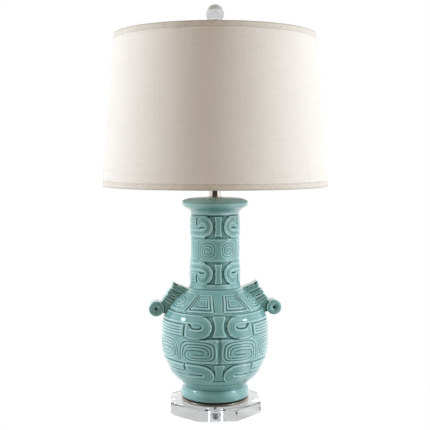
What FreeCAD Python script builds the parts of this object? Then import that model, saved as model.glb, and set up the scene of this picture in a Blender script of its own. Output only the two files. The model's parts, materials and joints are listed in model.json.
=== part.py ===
import FreeCAD, Part
import math
import os
from FreeCAD import Vector

# A table lamp: a glazed jar with two scroll handles on a nickel disc and a clear
# octagonal base, and a tapered linen drum shade carried on a harp under a glass ball finial.
# Millimetres. z = 0 is the table, +Z is up, -Y is the front, the lamp's axis is the Z axis.

# ---- clear base and what clamps the stack together
pad_r = 7.0
pad_h = 2.0
pad_circle_r = 64.0
pad_count = 4
base_w = 163.0            # across each pair of flats
base_corner = 45.6        # leg of the corner cut, which makes the square an octagon
base_turn = 3.0           # degrees: the slab sits slightly turned on its rod
base_t = 19.0
base_bevel = 1.2
base_bore_r = 5.6
counterbore_r = 17.0
counterbore_h = 10.0
disc_r = 62.0
disc_t = 5.0
disc_bevel = 0.6
gasket_r = 57.0
gasket_hole_r = 50.0
gasket_t = 1.0
rod_r = 5.1
rod_bore_r = 3.5
rod_slot_w = 5.0
rod_slot_h = 16.0
rod_below_nut = 1.9
fit_gap = 0.15            # round a rod, a stud or a seat that doesn't turn
turn_gap = 0.06           # round a shaft that turns
glue_gap = 0.15           # under a handle, filled by glaze
lift_gap = 0.25           # under a piece that lifts off
washer_r = 14.0
washer_t = 1.6
nut_flats = 16.0
nut_t = 5.0
lock_nut_t = 3.4

# ---- jar: radii, and the rise of each stretch of its outline above the one below
jar_turn = 5.0            # degrees: the jar's handles sit slightly turned from the harp's plane
foot_r = 63.0
foot_round = 2.5
foot_side_h = 14.0
foot_top_r = 61.0
foot_top_rise = 4.0
waist_r = 58.8
waist_rise = 5.5
belly_low_r = 64.5
belly_low_rise = 7.0
belly_rise = 68.5
belly_bulge = 8.0
body_r = 98.2
barrel_rise = 31.0
shoulder_low_r = 57.0     # the shoulder's lower, tighter arc
shoulder_turn = 37.0      # degrees that the lower arc turns before the flatter one takes over
shoulder_high_r = 130.0
root_fillet_r = 9.0
neck_root_r = 46.2
neck_r = 44.7
neck_rise = 203.0         # from the barrel's top, over the shoulder, to the neck's top
flare_r = 58.5
flare_rise = 19.3
flare_bulge = -2.2
lip_r = 60.3
lip_rise = 4.7
lip_top_r = 57.0
lip_top_rise = 5.3
crown_rise = 3.7
jar_wall = 7.0
jar_top_t = 8.0
jar_floor_h = 17.0
jar_floor_t = 8.0
recess_r = 52.0

# ---- scroll handles: points are (outward, up) from where the shoulder's two arcs meet
scroll_r = 13.8
scroll_axis = (21.1, -0.8)
scroll_len = 30.0
eye_r = 2.6
eye_sink_r = 7.0
eye_sink_d = 1.8
head_w = 30.0
trunk_w = 26.0
trunk_low_w = 23.0
handle_inner = ((-36.7, 28.7), (-20.7, 15.7), (-8.7, 3.7), (-2.7, -10.3))
head_top = ((-34.2, 35.7), (-24.7, 41.2), (-17.7, 42.7), (-8.1, 46.7))
notch_1 = (-5.2, 35.7)
trunk_crown = (1.8, 30.2)
notch_2 = (3.8, 23.2)
trunk_low_crown = (9.8, 17.7)
trunk_end = (12.8, 10.7)

# ---- cord outlet through the back of the foot ring
outlet_h = 9.5
outlet_r = 5.0
bushing_bore_r = 3.4
bushing_flange_r = 7.5
bushing_flange_t = 1.8
bushing_inner_len = 3.0

# ---- neck and harp
neck_washer_r = 13.0
neck_washer_t = 1.5
tube_r = 11.1
tube_wall = 1.1
tube_len = 24.5
saddle_w = 16.0
saddle_t = 1.8
saddle_arm_x = 31.0
saddle_arm_w = 10.0
saddle_arm_h = 13.0
saddle_bend_r = 3.0
tab_w = 3.6
tab_h = 10.0
wire_r = 1.9
foot_x = 4.4
foot_y = 5.6
foot_len = 15.0
harp_h = 256.0            # saddle plate to the face that carries the shade
harp_half_w = 57.0
harp_straight_h = 60.0
harp_wide_low_h = 118.0
harp_wide_high_h = 192.0
harp_top_x = 15.0
harp_pad_l = 22.0
harp_pad_w = 9.0
harp_pad_t = 2.4
sleeve_r = 4.7
sleeve_wall = 0.9
sleeve_len = 15.0
stud_r = 3.05
stud_h = 14.0
stud_flange_r = 6.5
stud_flange_t = 1.5

# ---- socket and switch
cap_neck_r = 7.5
cap_neck_h = 7.0
cap_r = 18.0
cap_h = 24.0
cap_wall = 0.9
shell_r = 17.0
shell_wall = 0.6
shell_lap = 7.0
shell_h = 46.0
shell_lip = 1.0
liner_wall = 1.0
core_h = 22.0
core_seat = 3.0
core_nose_r = 11.6
core_nose_h = 4.0
screw_shell_r = 13.35
screw_shell_wall = 0.5
screw_shell_h = 24.0
contact_r = 4.0
contact_t = 0.6
contact_rise = 2.0
terminal_flat_d = 3.0
terminal_r = 3.0
terminal_t = 1.6
terminal_z = 9.0
spindle_r = 2.0
spindle_z = 15.0
spindle_inner = 4.0
spindle_out = 12.0
knob_r = 7.5
knob_tip_r = 6.2
knob_len = 15.0
knob_clear = 3.0
knob_flutes = 10
flute_r = 1.1
set_screw_r = 1.6
set_screw_out = 3.0

# ---- bulb
bulb_cap_r = 12.75
bulb_cap_h = 22.0
bulb_tip_r = 4.6
bulb_tip_h = 3.0
bulb_insulator_r = 9.8
bulb_neck_r = 13.6
bulb_neck_h = 4.0
bulb_globe_r = 30.0
bulb_h = 106.0

# ---- shade
shade_low_r = 203.2
shade_top_r = 180.0
shade_h = 269.0
panel_t = 1.0
trim_t = 0.6
trim_band = 12.7
trim_inner_band = 9.0
ring_r = 1.6
ring_sides = 8
spoke_count = 3
spoke_r = 1.6
hub_r = 12.0
hub_hole_r = 5.5
hub_t = 1.6
spider_rise = 3.7         # the rim wire above the hub

# ---- finial
finial_ball_r = 17.0
finial_stem_h = 25.7      # washer to the underside of the ball
finial_foot_r = 8.0
finial_foot_h = 4.0
finial_neck_r = 4.8
finial_cup_r = 9.5
finial_cup_h = 8.0
finial_pin_r = 2.4
finial_pin_h = 10.0

# ---- levels worked out from the sizes above; those that end in _h count from the jar's foot
foot_top_h = foot_side_h + foot_top_rise
waist_h = foot_top_h + waist_rise
belly_low_h = waist_h + belly_low_rise
barrel_low_h = belly_low_h + belly_rise
barrel_top_h = barrel_low_h + barrel_rise
neck_top_h = barrel_top_h + neck_rise
flare_h = neck_top_h + flare_rise
lip_h = flare_h + lip_rise
lip_top_h = lip_h + lip_top_rise
jar_h = lip_top_h + crown_rise
base_z = pad_h
disc_z = base_z + base_t
gasket_z = disc_z + disc_t
jar_z = gasket_z + gasket_t
neck_z = jar_z + jar_h
tube_z = neck_z + neck_washer_t
saddle_z = tube_z + tube_len
lock_nut_z = saddle_z + saddle_t
cap_z = lock_nut_z + lock_nut_t
shell_z = cap_z + cap_h - shell_lap
core_z = shell_z + core_seat
screw_shell_z = core_z + core_h
harp_top_z = saddle_z + harp_h
hub_z = harp_top_z + lift_gap
finial_z = hub_z + hub_t + lift_gap
ball_z = finial_z + finial_stem_h + finial_ball_r
nut_z = base_z + counterbore_h - washer_t - nut_t
rim_z = hub_z + hub_t / 2 + spider_rise
shade_top_z = rim_z + ring_r + fit_gap / 2 + trim_t
shade_low_z = shade_top_z - shade_h
bulb_z = screw_shell_z + contact_rise + contact_t + lift_gap
Z_AXIS = Vector(0, 0, 1)
Y_AXIS = Vector(0, 1, 0)
ORIGIN = Vector(0, 0, 0)


def at(r, z):
    return Vector(r, 0, z)


def line(p, q):
    return Part.makeLine(p, q)


def arc(p, middle, q):
    return Part.Arc(p, middle, q).toShape()


def bulged(p, q, rise):
    # an arc from p to q whose middle stands off the chord, to the right of p->q if rise is positive
    chord = q - p
    side = Vector(chord.z, 0, -chord.x).normalize()
    return arc(p, (p + q) * 0.5 + side * rise, q)


def face_of(edges):
    return Part.Face(Part.Wire(Part.__sortEdges__(edges)))


def turned(edges, centre=ORIGIN, axis=Z_AXIS):
    return face_of(edges).revolve(centre, axis, 360)


def turned_outline(points, centre=ORIGIN, axis=Z_AXIS):
    # a body of revolution from a straight-sided outline
    vectors = [p if isinstance(p, Vector) else at(*p) for p in points]
    return Part.Face(Part.makePolygon(vectors + [vectors[0]])).revolve(centre, axis, 360)


def ring(outer_r, inner_r, z, height):
    return turned_outline([(inner_r, z), (outer_r, z), (outer_r, z + height), (inner_r, z + height)])


def block(x, y, z, centre):
    return Part.makeBox(x, y, z, centre - Vector(x / 2, y / 2, z / 2))


def prism(outline_edges, width):
    # an outline in the XZ plane, given width along Y, centred
    solid = face_of(outline_edges).extrude(Vector(0, width, 0))
    solid.translate(Vector(0, -width / 2, 0))
    return solid


def wire_ring(centre_r, z):
    # a hoop of ring wire; its section is drawn with ring_sides flats
    angles = [2 * math.pi * (k + 0.5) / ring_sides for k in range(ring_sides)]
    return turned_outline([at(centre_r + ring_r * math.cos(a), z + ring_r * math.sin(a)) for a in angles])


def hexagon(flats, z, height):
    corner_r = flats / 2 / math.cos(math.pi / 6)
    angles = [math.pi / 6 + math.pi / 3 * k for k in range(6)]
    corners = [Vector(corner_r * math.cos(a), corner_r * math.sin(a), z) for a in angles]
    return Part.Face(Part.makePolygon(corners + [corners[0]])).extrude(Vector(0, 0, height))


def spun(shape, count, start=0.0):
    copies = []
    for k in range(count):
        copy = shape.copy()
        copy.rotate(ORIGIN, Z_AXIS, start + 360.0 * k / count)
        copies.append(copy)
    return copies


def rod_hole(z, height, radius=rod_r + fit_gap):
    return Part.makeCylinder(radius, height, at(0, z))


def rounded_path(points, radii):
    # straight runs through the points, with a tangent arc at each inner point
    edges = []
    start = points[0]
    for before, corner, after, radius in zip(points, points[1:], points[2:], radii):
        back = (before - corner).normalize()
        on = (after - corner).normalize()
        half = back.getAngle(on) / 2
        reach = radius / math.tan(half)
        inward = (back + on).normalize()
        first = corner + back * reach
        last = corner + on * reach
        middle = corner + inward * (radius / math.sin(half) - radius)
        edges.append(line(start, first))
        edges.append(arc(first, middle, last))
        start = last
    edges.append(line(start, points[-1]))
    return Part.Wire(edges)


def swept_round(path, radius):
    start = path.Edges[0]
    tangent = start.tangentAt(start.FirstParameter)
    section = Part.Wire(Part.makeCircle(radius, start.valueAt(start.FirstParameter), tangent))
    return path.makePipeShell([section], True, False)


# ---- base
def bumper_pads():
    pad = Part.makeCylinder(pad_r, pad_h, at(pad_circle_r, 0))
    pad = pad.makeChamfer(pad_h * 0.3, [pad.Edges[2] if pad.Edges[2].Curve.Center.z == 0 else pad.Edges[0]])
    return Part.makeCompound(spun(pad, pad_count, 180.0 / pad_count + base_turn))


def clear_base():
    slab = block(base_w, base_w, base_t, at(0, base_z + base_t / 2))
    upright = [e for e in slab.Edges if abs(e.Vertexes[0].Z - e.Vertexes[1].Z) > base_t / 2]
    slab = slab.makeChamfer(base_corner, upright)
    rims = [e for e in slab.Edges if abs(e.Vertexes[0].Z - e.Vertexes[1].Z) < 0.001]
    slab = slab.makeChamfer(base_bevel, rims)
    slab.rotate(ORIGIN, Z_AXIS, base_turn)
    slab = slab.cut(Part.makeCylinder(counterbore_r, counterbore_h, at(0, base_z)))
    return slab.cut(Part.makeCylinder(base_bore_r, base_t, at(0, base_z)))


def nickel_disc():
    outer = disc_r - disc_bevel
    return turned_outline([(base_bore_r, disc_z), (outer, disc_z), (disc_r, disc_z + disc_bevel),
                           (disc_r, gasket_z - disc_bevel), (outer, gasket_z), (base_bore_r, gasket_z)])


def hex_nut(z, height):
    return hexagon(nut_flats, z, height).cut(rod_hole(z, height))


def lamp_rod():
    bottom = nut_z - rod_below_nut
    top = cap_z + cap_neck_h
    rod = ring(rod_r, rod_bore_r, bottom, top - bottom)
    slot = block(rod_slot_w, 2 * rod_r, rod_slot_h, Vector(0, rod_r, jar_z + outlet_h))
    return rod.cut(slot)


# ---- jar
def jar_point(r, h):
    return at(r, jar_z + h)


def shoulder(offset, end_r):
    # the shoulder's two tangent arcs from the barrel's top up to end_r, moved out by offset
    turn = math.radians(shoulder_turn)
    low_centre = jar_point(body_r - shoulder_low_r, barrel_top_h)
    high_centre = low_centre - at(math.cos(turn), math.sin(turn)) * (shoulder_high_r - shoulder_low_r)
    low_r, high_r = shoulder_low_r + offset, shoulder_high_r + offset
    start = low_centre + at(low_r, 0)
    middle = low_centre + at(math.cos(turn / 2), math.sin(turn / 2)) * low_r
    joint = low_centre + at(math.cos(turn), math.sin(turn)) * low_r
    end = at(end_r, high_centre.z + math.sqrt(high_r ** 2 - (end_r - high_centre.x) ** 2))
    crown = high_centre + ((joint + end) * 0.5 - high_centre).normalize() * high_r
    return [arc(start, middle, joint), arc(joint, crown, end)], start, end, high_centre


def root_fillet():
    # the small hollow arc from the shoulder into the neck, tangent to both
    centre_r = neck_root_r + root_fillet_r
    high_centre = shoulder(root_fillet_r, centre_r)[3]
    centre = shoulder(root_fillet_r, centre_r)[2]
    toward = (high_centre - centre).normalize()
    low = centre + toward * root_fillet_r
    high = centre - at(root_fillet_r, 0)
    middle = centre + (toward + Vector(-1, 0, 0)).normalize() * root_fillet_r
    return low, middle, high


def jar_outside():
    low, middle, high = root_fillet()
    arcs, barrel_top, _, _ = shoulder(0, low.x)
    foot_mid = jar_point(foot_r - foot_round * 0.293, foot_round * 0.293)
    edges = arcs + [
        line(jar_point(0, 0), jar_point(foot_r - foot_round, 0)),
        arc(jar_point(foot_r - foot_round, 0), foot_mid, jar_point(foot_r, foot_round)),
        line(jar_point(foot_r, foot_round), jar_point(foot_r, foot_side_h)),
        bulged(jar_point(foot_r, foot_side_h), jar_point(foot_top_r, foot_top_h), 0.6),
        arc(jar_point(foot_top_r, foot_top_h), jar_point(waist_r, waist_h),
            jar_point(belly_low_r, belly_low_h)),
        bulged(jar_point(belly_low_r, belly_low_h), jar_point(body_r, barrel_low_h), belly_bulge),
        line(jar_point(body_r, barrel_low_h), barrel_top),
        arc(low, middle, high),
        line(high, jar_point(neck_r, neck_top_h)),
        bulged(jar_point(neck_r, neck_top_h), jar_point(flare_r, flare_h), flare_bulge),
        arc(jar_point(flare_r, flare_h), jar_point(lip_r, lip_h), jar_point(lip_top_r, lip_top_h)),
        bulged(jar_point(lip_top_r, lip_top_h), jar_point(neck_washer_r, jar_h), 0.7),
        line(jar_point(neck_washer_r, jar_h), jar_point(0, jar_h)),
        line(jar_point(0, jar_h), jar_point(0, 0)),
    ]
    return turned(edges)


def jar_cavity():
    # the inside is plainer than the outside, and never nearer to it than the wall
    floor_top = jar_floor_h + jar_floor_t
    arcs, barrel_top, shoulder_end, _ = shoulder(-jar_wall, neck_r - jar_wall)
    bend = arcs[0].Vertexes[-1].Point
    flare_in = flare_r - 2 * jar_wall
    ceiling = jar_h - jar_top_t
    return turned_outline([jar_point(0, floor_top), jar_point(waist_r - jar_wall, floor_top),
                           jar_point(body_r - jar_wall, barrel_low_h), barrel_top, bend, shoulder_end,
                           jar_point(neck_r - jar_wall, neck_top_h), jar_point(flare_in, flare_h),
                           jar_point(flare_in, ceiling), jar_point(0, ceiling)])


def shoulder_form():
    # the handles are trimmed to this, so that they follow the shoulder
    arcs, start, end, _ = shoulder(glue_gap, 0)
    foot = at(0, start.z)
    return turned(arcs + [line(end, foot), line(foot, start)])


def jar():
    cuts = [jar_cavity(),
            Part.makeCylinder(recess_r, jar_floor_h, jar_point(0, 0)),
            rod_hole(jar_z, jar_h, base_bore_r),
            Part.makeCylinder(outlet_r, foot_r + bushing_flange_t, jar_point(0, outlet_h), Y_AXIS)]
    return jar_outside().cut(cuts).removeSplitter()


def polyline(points):
    return [line(p, q) for p, q in zip(points, points[1:])]


def handle_point(outward, up):
    turn = math.radians(shoulder_turn)
    seat = jar_point(body_r - shoulder_low_r, barrel_top_h)
    return seat + at(math.cos(turn), math.sin(turn)) * shoulder_low_r + at(outward, up)


def scroll_handle():
    # one handle on the +X side: head, two ribbed trunk rolls and the rolled end with its eye
    inner = [handle_point(*p) for p in handle_inner]
    top = [handle_point(*p) for p in head_top]
    first, crown, second = handle_point(*notch_1), handle_point(*trunk_crown), handle_point(*notch_2)
    low_crown, end = handle_point(*trunk_low_crown), handle_point(*trunk_end)
    axis = handle_point(*scroll_axis)
    head = prism([arc(top[0], top[1], top[2]), line(top[2], top[3]), bulged(top[3], first, -0.8)]
                 + polyline([first, inner[1], inner[0], top[0]]), head_w)
    trunk = prism([arc(first, crown, second)] + polyline([second, inner[2], inner[1], first]), trunk_w)
    trunk_low = prism([arc(second, low_crown, end)]
                      + polyline([end, axis, inner[3], inner[2], second]), trunk_low_w)
    scroll = Part.makeCylinder(scroll_r, scroll_len, axis - Vector(0, scroll_len / 2, 0), Y_AXIS)
    return head.multiFuse([trunk, trunk_low, scroll])


def scroll_eye():
    centre = handle_point(*scroll_axis)
    half = scroll_len / 2
    sink = half - eye_sink_d
    return turned_outline([centre + Vector(0, -half, 0), centre + Vector(eye_sink_r, -half, 0),
                           centre + Vector(eye_r, -sink, 0), centre + Vector(eye_r, sink, 0),
                           centre + Vector(eye_sink_r, half, 0), centre + Vector(0, half, 0)],
                          centre, Y_AXIS)


def luted_handle(turn):
    handle = scroll_handle().cut([shoulder_form(), scroll_eye()]).removeSplitter()
    handle.rotate(ORIGIN, Z_AXIS, turn)
    return handle


def cord_bushing():
    axis_z = jar_z + outlet_h
    face_y = foot_r
    inner_y = recess_r - bushing_inner_len
    # turned about the outlet's axis: a sleeve through the wall and a flange outside it
    body = Part.makeCylinder(outlet_r - fit_gap, face_y - inner_y, Vector(0, inner_y, axis_z), Y_AXIS)
    flange = Part.makeCylinder(bushing_flange_r, bushing_flange_t, Vector(0, face_y, axis_z), Y_AXIS)
    flange = flange.makeChamfer(bushing_flange_t * 0.4, [e for e in flange.Edges if
                                hasattr(e.Curve, "Radius") and e.Curve.Center.y > face_y + 0.1])
    bore = Part.makeCylinder(bushing_bore_r, foot_r, Vector(0, inner_y, axis_z), Y_AXIS)
    return body.fuse(flange).cut(bore)


# ---- neck, saddle and harp
def harp_saddle():
    plate_low, plate_top = saddle_z, saddle_z + saddle_t
    arm_top = plate_top + saddle_arm_h
    outer_x = saddle_arm_x + saddle_t / 2
    inner_x = saddle_arm_x - saddle_t / 2
    outline = [at(-outer_x, arm_top), at(-outer_x, plate_low), at(outer_x, plate_low),
               at(outer_x, arm_top), at(inner_x, arm_top), at(inner_x, plate_top),
               at(-inner_x, plate_top), at(-inner_x, arm_top)]
    strip = prism(polyline(outline + [outline[0]]), saddle_w)
    bends = [e for e in strip.Edges if abs(e.Vertexes[0].Y - e.Vertexes[1].Y) > saddle_w - 0.1
             and e.Vertexes[0].Z < plate_top + 0.1]
    outside = [e for e in bends if abs(e.Vertexes[0].X) > inner_x + 0.1]
    strip = strip.makeFillet(saddle_bend_r, outside)
    inside = [e for e in strip.Edges if abs(e.Vertexes[0].Y - e.Vertexes[-1].Y) > saddle_w - 0.1
              and abs(abs(e.Vertexes[0].X) - inner_x) < 0.05 and abs(e.Vertexes[0].Z - plate_top) < 0.05]
    strip = strip.makeFillet(saddle_bend_r - saddle_t, inside)
    # the arms are narrower than the plate, and each carries a tab for the harp's foot
    trims = []
    for side in (-1, 1):
        for edge in (-1, 1):
            waste_w = (saddle_w - saddle_arm_w) / 2
            trims.append(block(2 * saddle_bend_r, waste_w, saddle_arm_h,
                               Vector(side * outer_x, edge * (saddle_w - waste_w) / 2,
                                      plate_low + saddle_bend_r + saddle_arm_h / 2)))
    tabs = [block(saddle_t, tab_w, tab_h, Vector(side * saddle_arm_x, 0, arm_top + tab_h / 2))
            for side in (-1, 1)]
    saddle = strip.cut(trims).multiFuse(tabs)
    return saddle.cut(rod_hole(saddle_z, saddle_t)).removeSplitter()


def arm_top_z():
    return saddle_z + saddle_t + saddle_arm_h


def harp_wire():
    foot_top = arm_top_z() + lift_gap + foot_len
    wire_z = harp_top_z - stud_flange_t - harp_pad_t / 2
    half = [at(saddle_arm_x, foot_top - 1.0), at(saddle_arm_x, saddle_z + harp_straight_h),
            at(harp_half_w, saddle_z + harp_wide_low_h), at(harp_half_w, saddle_z + harp_wide_high_h),
            at(harp_top_x + harp_pad_l, wire_z - 14.0), at(harp_top_x, wire_z)]
    bends = [60.0, 90.0, 90.0, 60.0]
    left = [Vector(-p.x, 0, p.z) for p in half]
    path = rounded_path(half + left[::-1], bends + [20.0, 20.0] + bends[::-1])
    bow = swept_round(path, wire_r)
    pad = block(harp_pad_l, harp_pad_w, harp_pad_t, at(0, wire_z))
    pad = pad.makeFillet(harp_pad_w / 2 - 0.1, [e for e in pad.Edges
                                                if abs(e.Vertexes[0].Z - e.Vertexes[1].Z) > 1.0])
    parts = [pad]
    cuts = [Part.makeCylinder(stud_r + turn_gap, 2 * wire_r + harp_pad_t, at(0, wire_z - wire_r - 1.0))]
    cuts.append(block(harp_pad_l, harp_pad_w, wire_r, at(0, wire_z + harp_pad_t / 2 + wire_r / 2)))
    for side in (-1, 1):
        foot_z = arm_top_z() + lift_gap
        parts.append(block(foot_x, foot_y, foot_len, at(side * saddle_arm_x, foot_z + foot_len / 2)))
        slot_h = tab_h + fit_gap
        cuts.append(block(saddle_t + 2 * fit_gap, tab_w + 2 * fit_gap, slot_h,
                          at(side * saddle_arm_x, foot_z + slot_h / 2 - lift_gap)))
    return bow.multiFuse(parts).cut(cuts).removeSplitter()


def harp_stud():
    # riveted through the harp's pad: head below, flange and threaded shank above
    flange_z = harp_top_z - stud_flange_t
    pad_low = flange_z - harp_pad_t
    head_r = stud_r + 1.6
    head_z = pad_low - wire_r + harp_pad_t / 2 - 1.4
    return turned_outline([(0, head_z), (head_r, head_z), (head_r, head_z + 1.2),
                           (stud_r, head_z + 1.4), (stud_r, flange_z), (stud_flange_r, flange_z),
                           (stud_flange_r, harp_top_z), (stud_r, harp_top_z),
                           (stud_r, harp_top_z + stud_h - 1.0), (stud_r - 0.8, harp_top_z + stud_h),
                           (0, harp_top_z + stud_h)])


def sleeve(side):
    low = arm_top_z() + lift_gap
    bore = sleeve_r - sleeve_wall
    skirt_r = sleeve_r + 1.0
    centre = at(side * saddle_arm_x, 0)
    points = [(bore, low), (skirt_r, low), (skirt_r, low + 1.6), (sleeve_r, low + 3.2),
              (sleeve_r, low + sleeve_len - 1.0), (sleeve_r - 0.5, low + sleeve_len),
              (bore, low + sleeve_len)]
    return turned_outline([centre + at(*p) for p in points], centre)


# ---- socket, switch and bulb
def spindle_level():
    return core_z + spindle_z


def socket_cap():
    outer = [(cap_neck_r, cap_z), (cap_neck_r, cap_z + cap_neck_h)]
    bell_low = at(*outer[1])
    rim_low = at(cap_r, cap_z + cap_h - shell_lap)
    inner_low = at(cap_neck_r - cap_wall, cap_z + cap_neck_h + cap_wall)
    inner_rim = at(cap_r - cap_wall, rim_low.z)
    edges = [line(at(rod_r + fit_gap, cap_z), at(*outer[0])), line(at(*outer[0]), bell_low),
             bulged(bell_low, rim_low, 3.0), line(rim_low, at(cap_r, cap_z + cap_h)),
             line(at(cap_r, cap_z + cap_h), at(cap_r - cap_wall, cap_z + cap_h)),
             line(at(cap_r - cap_wall, cap_z + cap_h), inner_rim), line(inner_rim, inner_low),
             line(inner_low, at(rod_r + fit_gap, inner_low.z)),
             line(at(rod_r + fit_gap, inner_low.z), at(rod_r + fit_gap, cap_z))]
    cap = turned(edges)
    screw_z = cap_z + cap_neck_h / 2
    return cap.cut(Part.makeCylinder(set_screw_r + turn_gap, cap_neck_r + 1.0,
                                     Vector(0, 0, screw_z), Y_AXIS))


def set_screw():
    screw_z = cap_z + cap_neck_h / 2
    start = rod_r + fit_gap
    return Part.makeCylinder(set_screw_r, cap_neck_r + set_screw_out - start,
                             Vector(0, start, screw_z), Y_AXIS)


def spindle_hole(radius, reach):
    return Part.makeCylinder(radius, reach, Vector(0, 0, spindle_level()), Vector(0, -1, 0))


def socket_shell():
    top = shell_z + shell_h
    bore = shell_r - shell_wall
    shell = turned_outline([(bore, shell_z), (shell_r, shell_z), (shell_r, top - shell_lip),
                            (shell_r - 0.4, top), (bore - shell_lip, top),
                            (bore - shell_lip, top - shell_wall), (bore, top - shell_lip)])
    return shell.cut(spindle_hole(2.2 * spindle_r, 2 * shell_r))


def socket_liner():
    height = shell_h - shell_lip - shell_wall
    return ring(liner_bore() + liner_wall, liner_bore(), shell_z, height).cut(
        spindle_hole(2.2 * spindle_r, 2 * shell_r))


def liner_bore():
    return shell_r - shell_wall - fit_gap - liner_wall


def socket_core():
    # moulded switch body: a stepped plug that carries the screw shell, the contact and the spindle
    core_r = liner_bore() - fit_gap
    step = screw_shell_z - core_nose_h
    body = turned_outline([(0, core_z), (core_r - 2.0, core_z), (core_r, core_z + 2.0), (core_r, step),
                           (core_nose_r, step), (core_nose_r, screw_shell_z), (0, screw_shell_z)])
    flats = [block(2 * terminal_flat_d, 2 * core_r, 2 * terminal_z,
                   Vector(side * core_r, 0, core_z + terminal_z)) for side in (-1, 1)]
    pin = Part.makeCylinder(contact_r * 0.6, contact_rise, at(0, screw_shell_z))
    return body.fuse(pin).cut(flats + [spindle_hole(spindle_r + turn_gap, 2 * core_r)])


def screw_shell():
    outer = screw_shell_r + screw_shell_wall
    low = screw_shell_z - core_nose_h
    wall = ring(outer, screw_shell_r, low, screw_shell_h)
    floor = ring(outer, core_nose_r + turn_gap, low, screw_shell_wall)
    return wall.fuse(floor).removeSplitter()


def centre_contact():
    z = screw_shell_z + contact_rise
    return Part.makeCylinder(contact_r, contact_t, at(0, z))


def terminal_screws():
    screws = []
    seat = liner_bore() - fit_gap - terminal_flat_d
    for side in (-1, 1):
        start = Vector(side * seat, 0, core_z + terminal_z)
        screws.append(Part.makeCylinder(terminal_r, terminal_t, start, Vector(side, 0, 0)))
    return Part.makeCompound(screws)


def knob_start():
    return shell_r + knob_clear


def knob_spindle():
    length = knob_start() + spindle_out - spindle_inner
    return Part.makeCylinder(spindle_r, length, Vector(0, -spindle_inner, spindle_level()),
                             Vector(0, -1, 0))


def turn_knob():
    z = spindle_level()
    start = knob_start()
    end = start + knob_len
    bore = spindle_r + turn_gap
    bore_end = start + spindle_out + turn_gap
    points = [(bore, start), (knob_r - 0.8, start), (knob_r, start + 0.8), (knob_r, start + 2.6),
              (knob_tip_r, end - 1.2), (knob_tip_r - 1.2, end), (0, end), (0, bore_end),
              (bore, bore_end)]
    knob = turned_outline([Vector(r, -y, z) for r, y in points], Vector(0, 0, z), Y_AXIS)
    flutes = []
    for k in range(knob_flutes):
        angle = 2 * math.pi * k / knob_flutes
        centre = Vector(knob_r * math.cos(angle), -end - 1.0, z + knob_r * math.sin(angle))
        flutes.append(Part.makeCylinder(flute_r, knob_len - 2.0, centre, Y_AXIS))
    return knob.cut(flutes)


def bulb_tip():
    z = bulb_z
    return turned_outline([(0, z), (bulb_tip_r * 0.6, z), (bulb_tip_r, z + 1.0),
                           (bulb_insulator_r, z + bulb_tip_h), (0, z + bulb_tip_h)])


def bulb_cap():
    low = bulb_z + bulb_tip_h
    top = low + bulb_cap_h
    return turned_outline([(0, low), (bulb_insulator_r, low), (bulb_cap_r, low + 2.5),
                           (bulb_cap_r, top), (0, top)])


def bulb_globe():
    low = bulb_z + bulb_tip_h + bulb_cap_h
    top = bulb_z + bulb_h
    centre_z = top - bulb_globe_r
    # the globe meets the tapered neck where the tangent leaves the ball
    lean = math.radians(28)
    leave = at(bulb_globe_r * math.cos(lean), centre_z - bulb_globe_r * math.sin(lean))
    edges = [line(at(0, low), at(bulb_cap_r, low)),
             line(at(bulb_cap_r, low), at(bulb_neck_r, low + bulb_neck_h)),
             bulged(at(bulb_neck_r, low + bulb_neck_h), leave, -2.0),
             arc(leave, at(bulb_globe_r * math.cos(lean), centre_z + bulb_globe_r * math.sin(lean)),
                 at(0, top)),
             line(at(0, top), at(0, low))]
    return turned(edges)


# ---- shade
def panel_r(z):
    # outside of the panel, under the trim tape, at a height
    share = (z - shade_low_z) / shade_h
    return shade_low_r - trim_t + share * (shade_top_r - shade_low_r)


def panel_low():
    return shade_low_z + trim_t


def panel_top():
    return shade_top_z - trim_t


def shade_panel():
    low, top = panel_low(), panel_top()
    return turned_outline([(panel_r(low) - panel_t, low), (panel_r(low), low),
                           (panel_r(top), top), (panel_r(top) - panel_t, top)])


def trim(edge_z, inward):
    # tape folded over the panel's edge and its wire ring; inward is +1 upward from the low edge
    fold = edge_z + inward * trim_t
    band_end = edge_z + inward * trim_band
    inner_end = edge_z + inward * trim_inner_band
    inner_r = panel_r(fold) - panel_t - 2 * ring_r - fit_gap
    lean = panel_r(inner_end) - panel_r(fold)
    return turned_outline([(inner_r - trim_t, edge_z), (panel_r(edge_z) + trim_t, edge_z),
                           (panel_r(band_end) + trim_t, band_end), (panel_r(band_end), band_end),
                           (panel_r(fold), fold), (inner_r, fold),
                           (inner_r + lean, inner_end), (inner_r - trim_t + lean, inner_end)])


def ring_centre_r(z):
    return panel_r(z) - panel_t - ring_r - fit_gap / 2


def spoke_path():
    # from inside the hub's rim, slightly up to the rim wire
    return Part.Wire([line(at(hub_r - 2 * spoke_r, hub_z + hub_t / 2), at(ring_centre_r(rim_z), rim_z))])


def shade_spider():
    rim = wire_ring(ring_centre_r(rim_z), rim_z)
    hub = ring(hub_r, hub_hole_r, hub_z, hub_t)
    spoke = swept_round(spoke_path(), spoke_r)
    waste = Part.makeCylinder(hub_hole_r, 6 * spoke_r, at(0, hub_z - 3 * spoke_r))
    spokes = spun(spoke, spoke_count, 90.0)
    return rim.multiFuse([hub] + spokes).cut(waste)


def shade_top_trim():
    clear = swept_round(spoke_path(), spoke_r + fit_gap)
    return trim(shade_top_z, -1).cut(spun(clear, spoke_count, 90.0))


def shade_bottom_trim():
    return trim(shade_low_z, 1)


def shade_bottom_ring():
    z = panel_low() + ring_r + fit_gap / 2
    return wire_ring(ring_centre_r(z), z)


# ---- finial
def finial_ball():
    ball = Part.makeSphere(finial_ball_r, at(0, ball_z))
    return ball.cut(Part.makeCylinder(finial_pin_r + turn_gap, finial_pin_h + 1.0,
                                      at(0, ball_z - finial_ball_r)))


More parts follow.
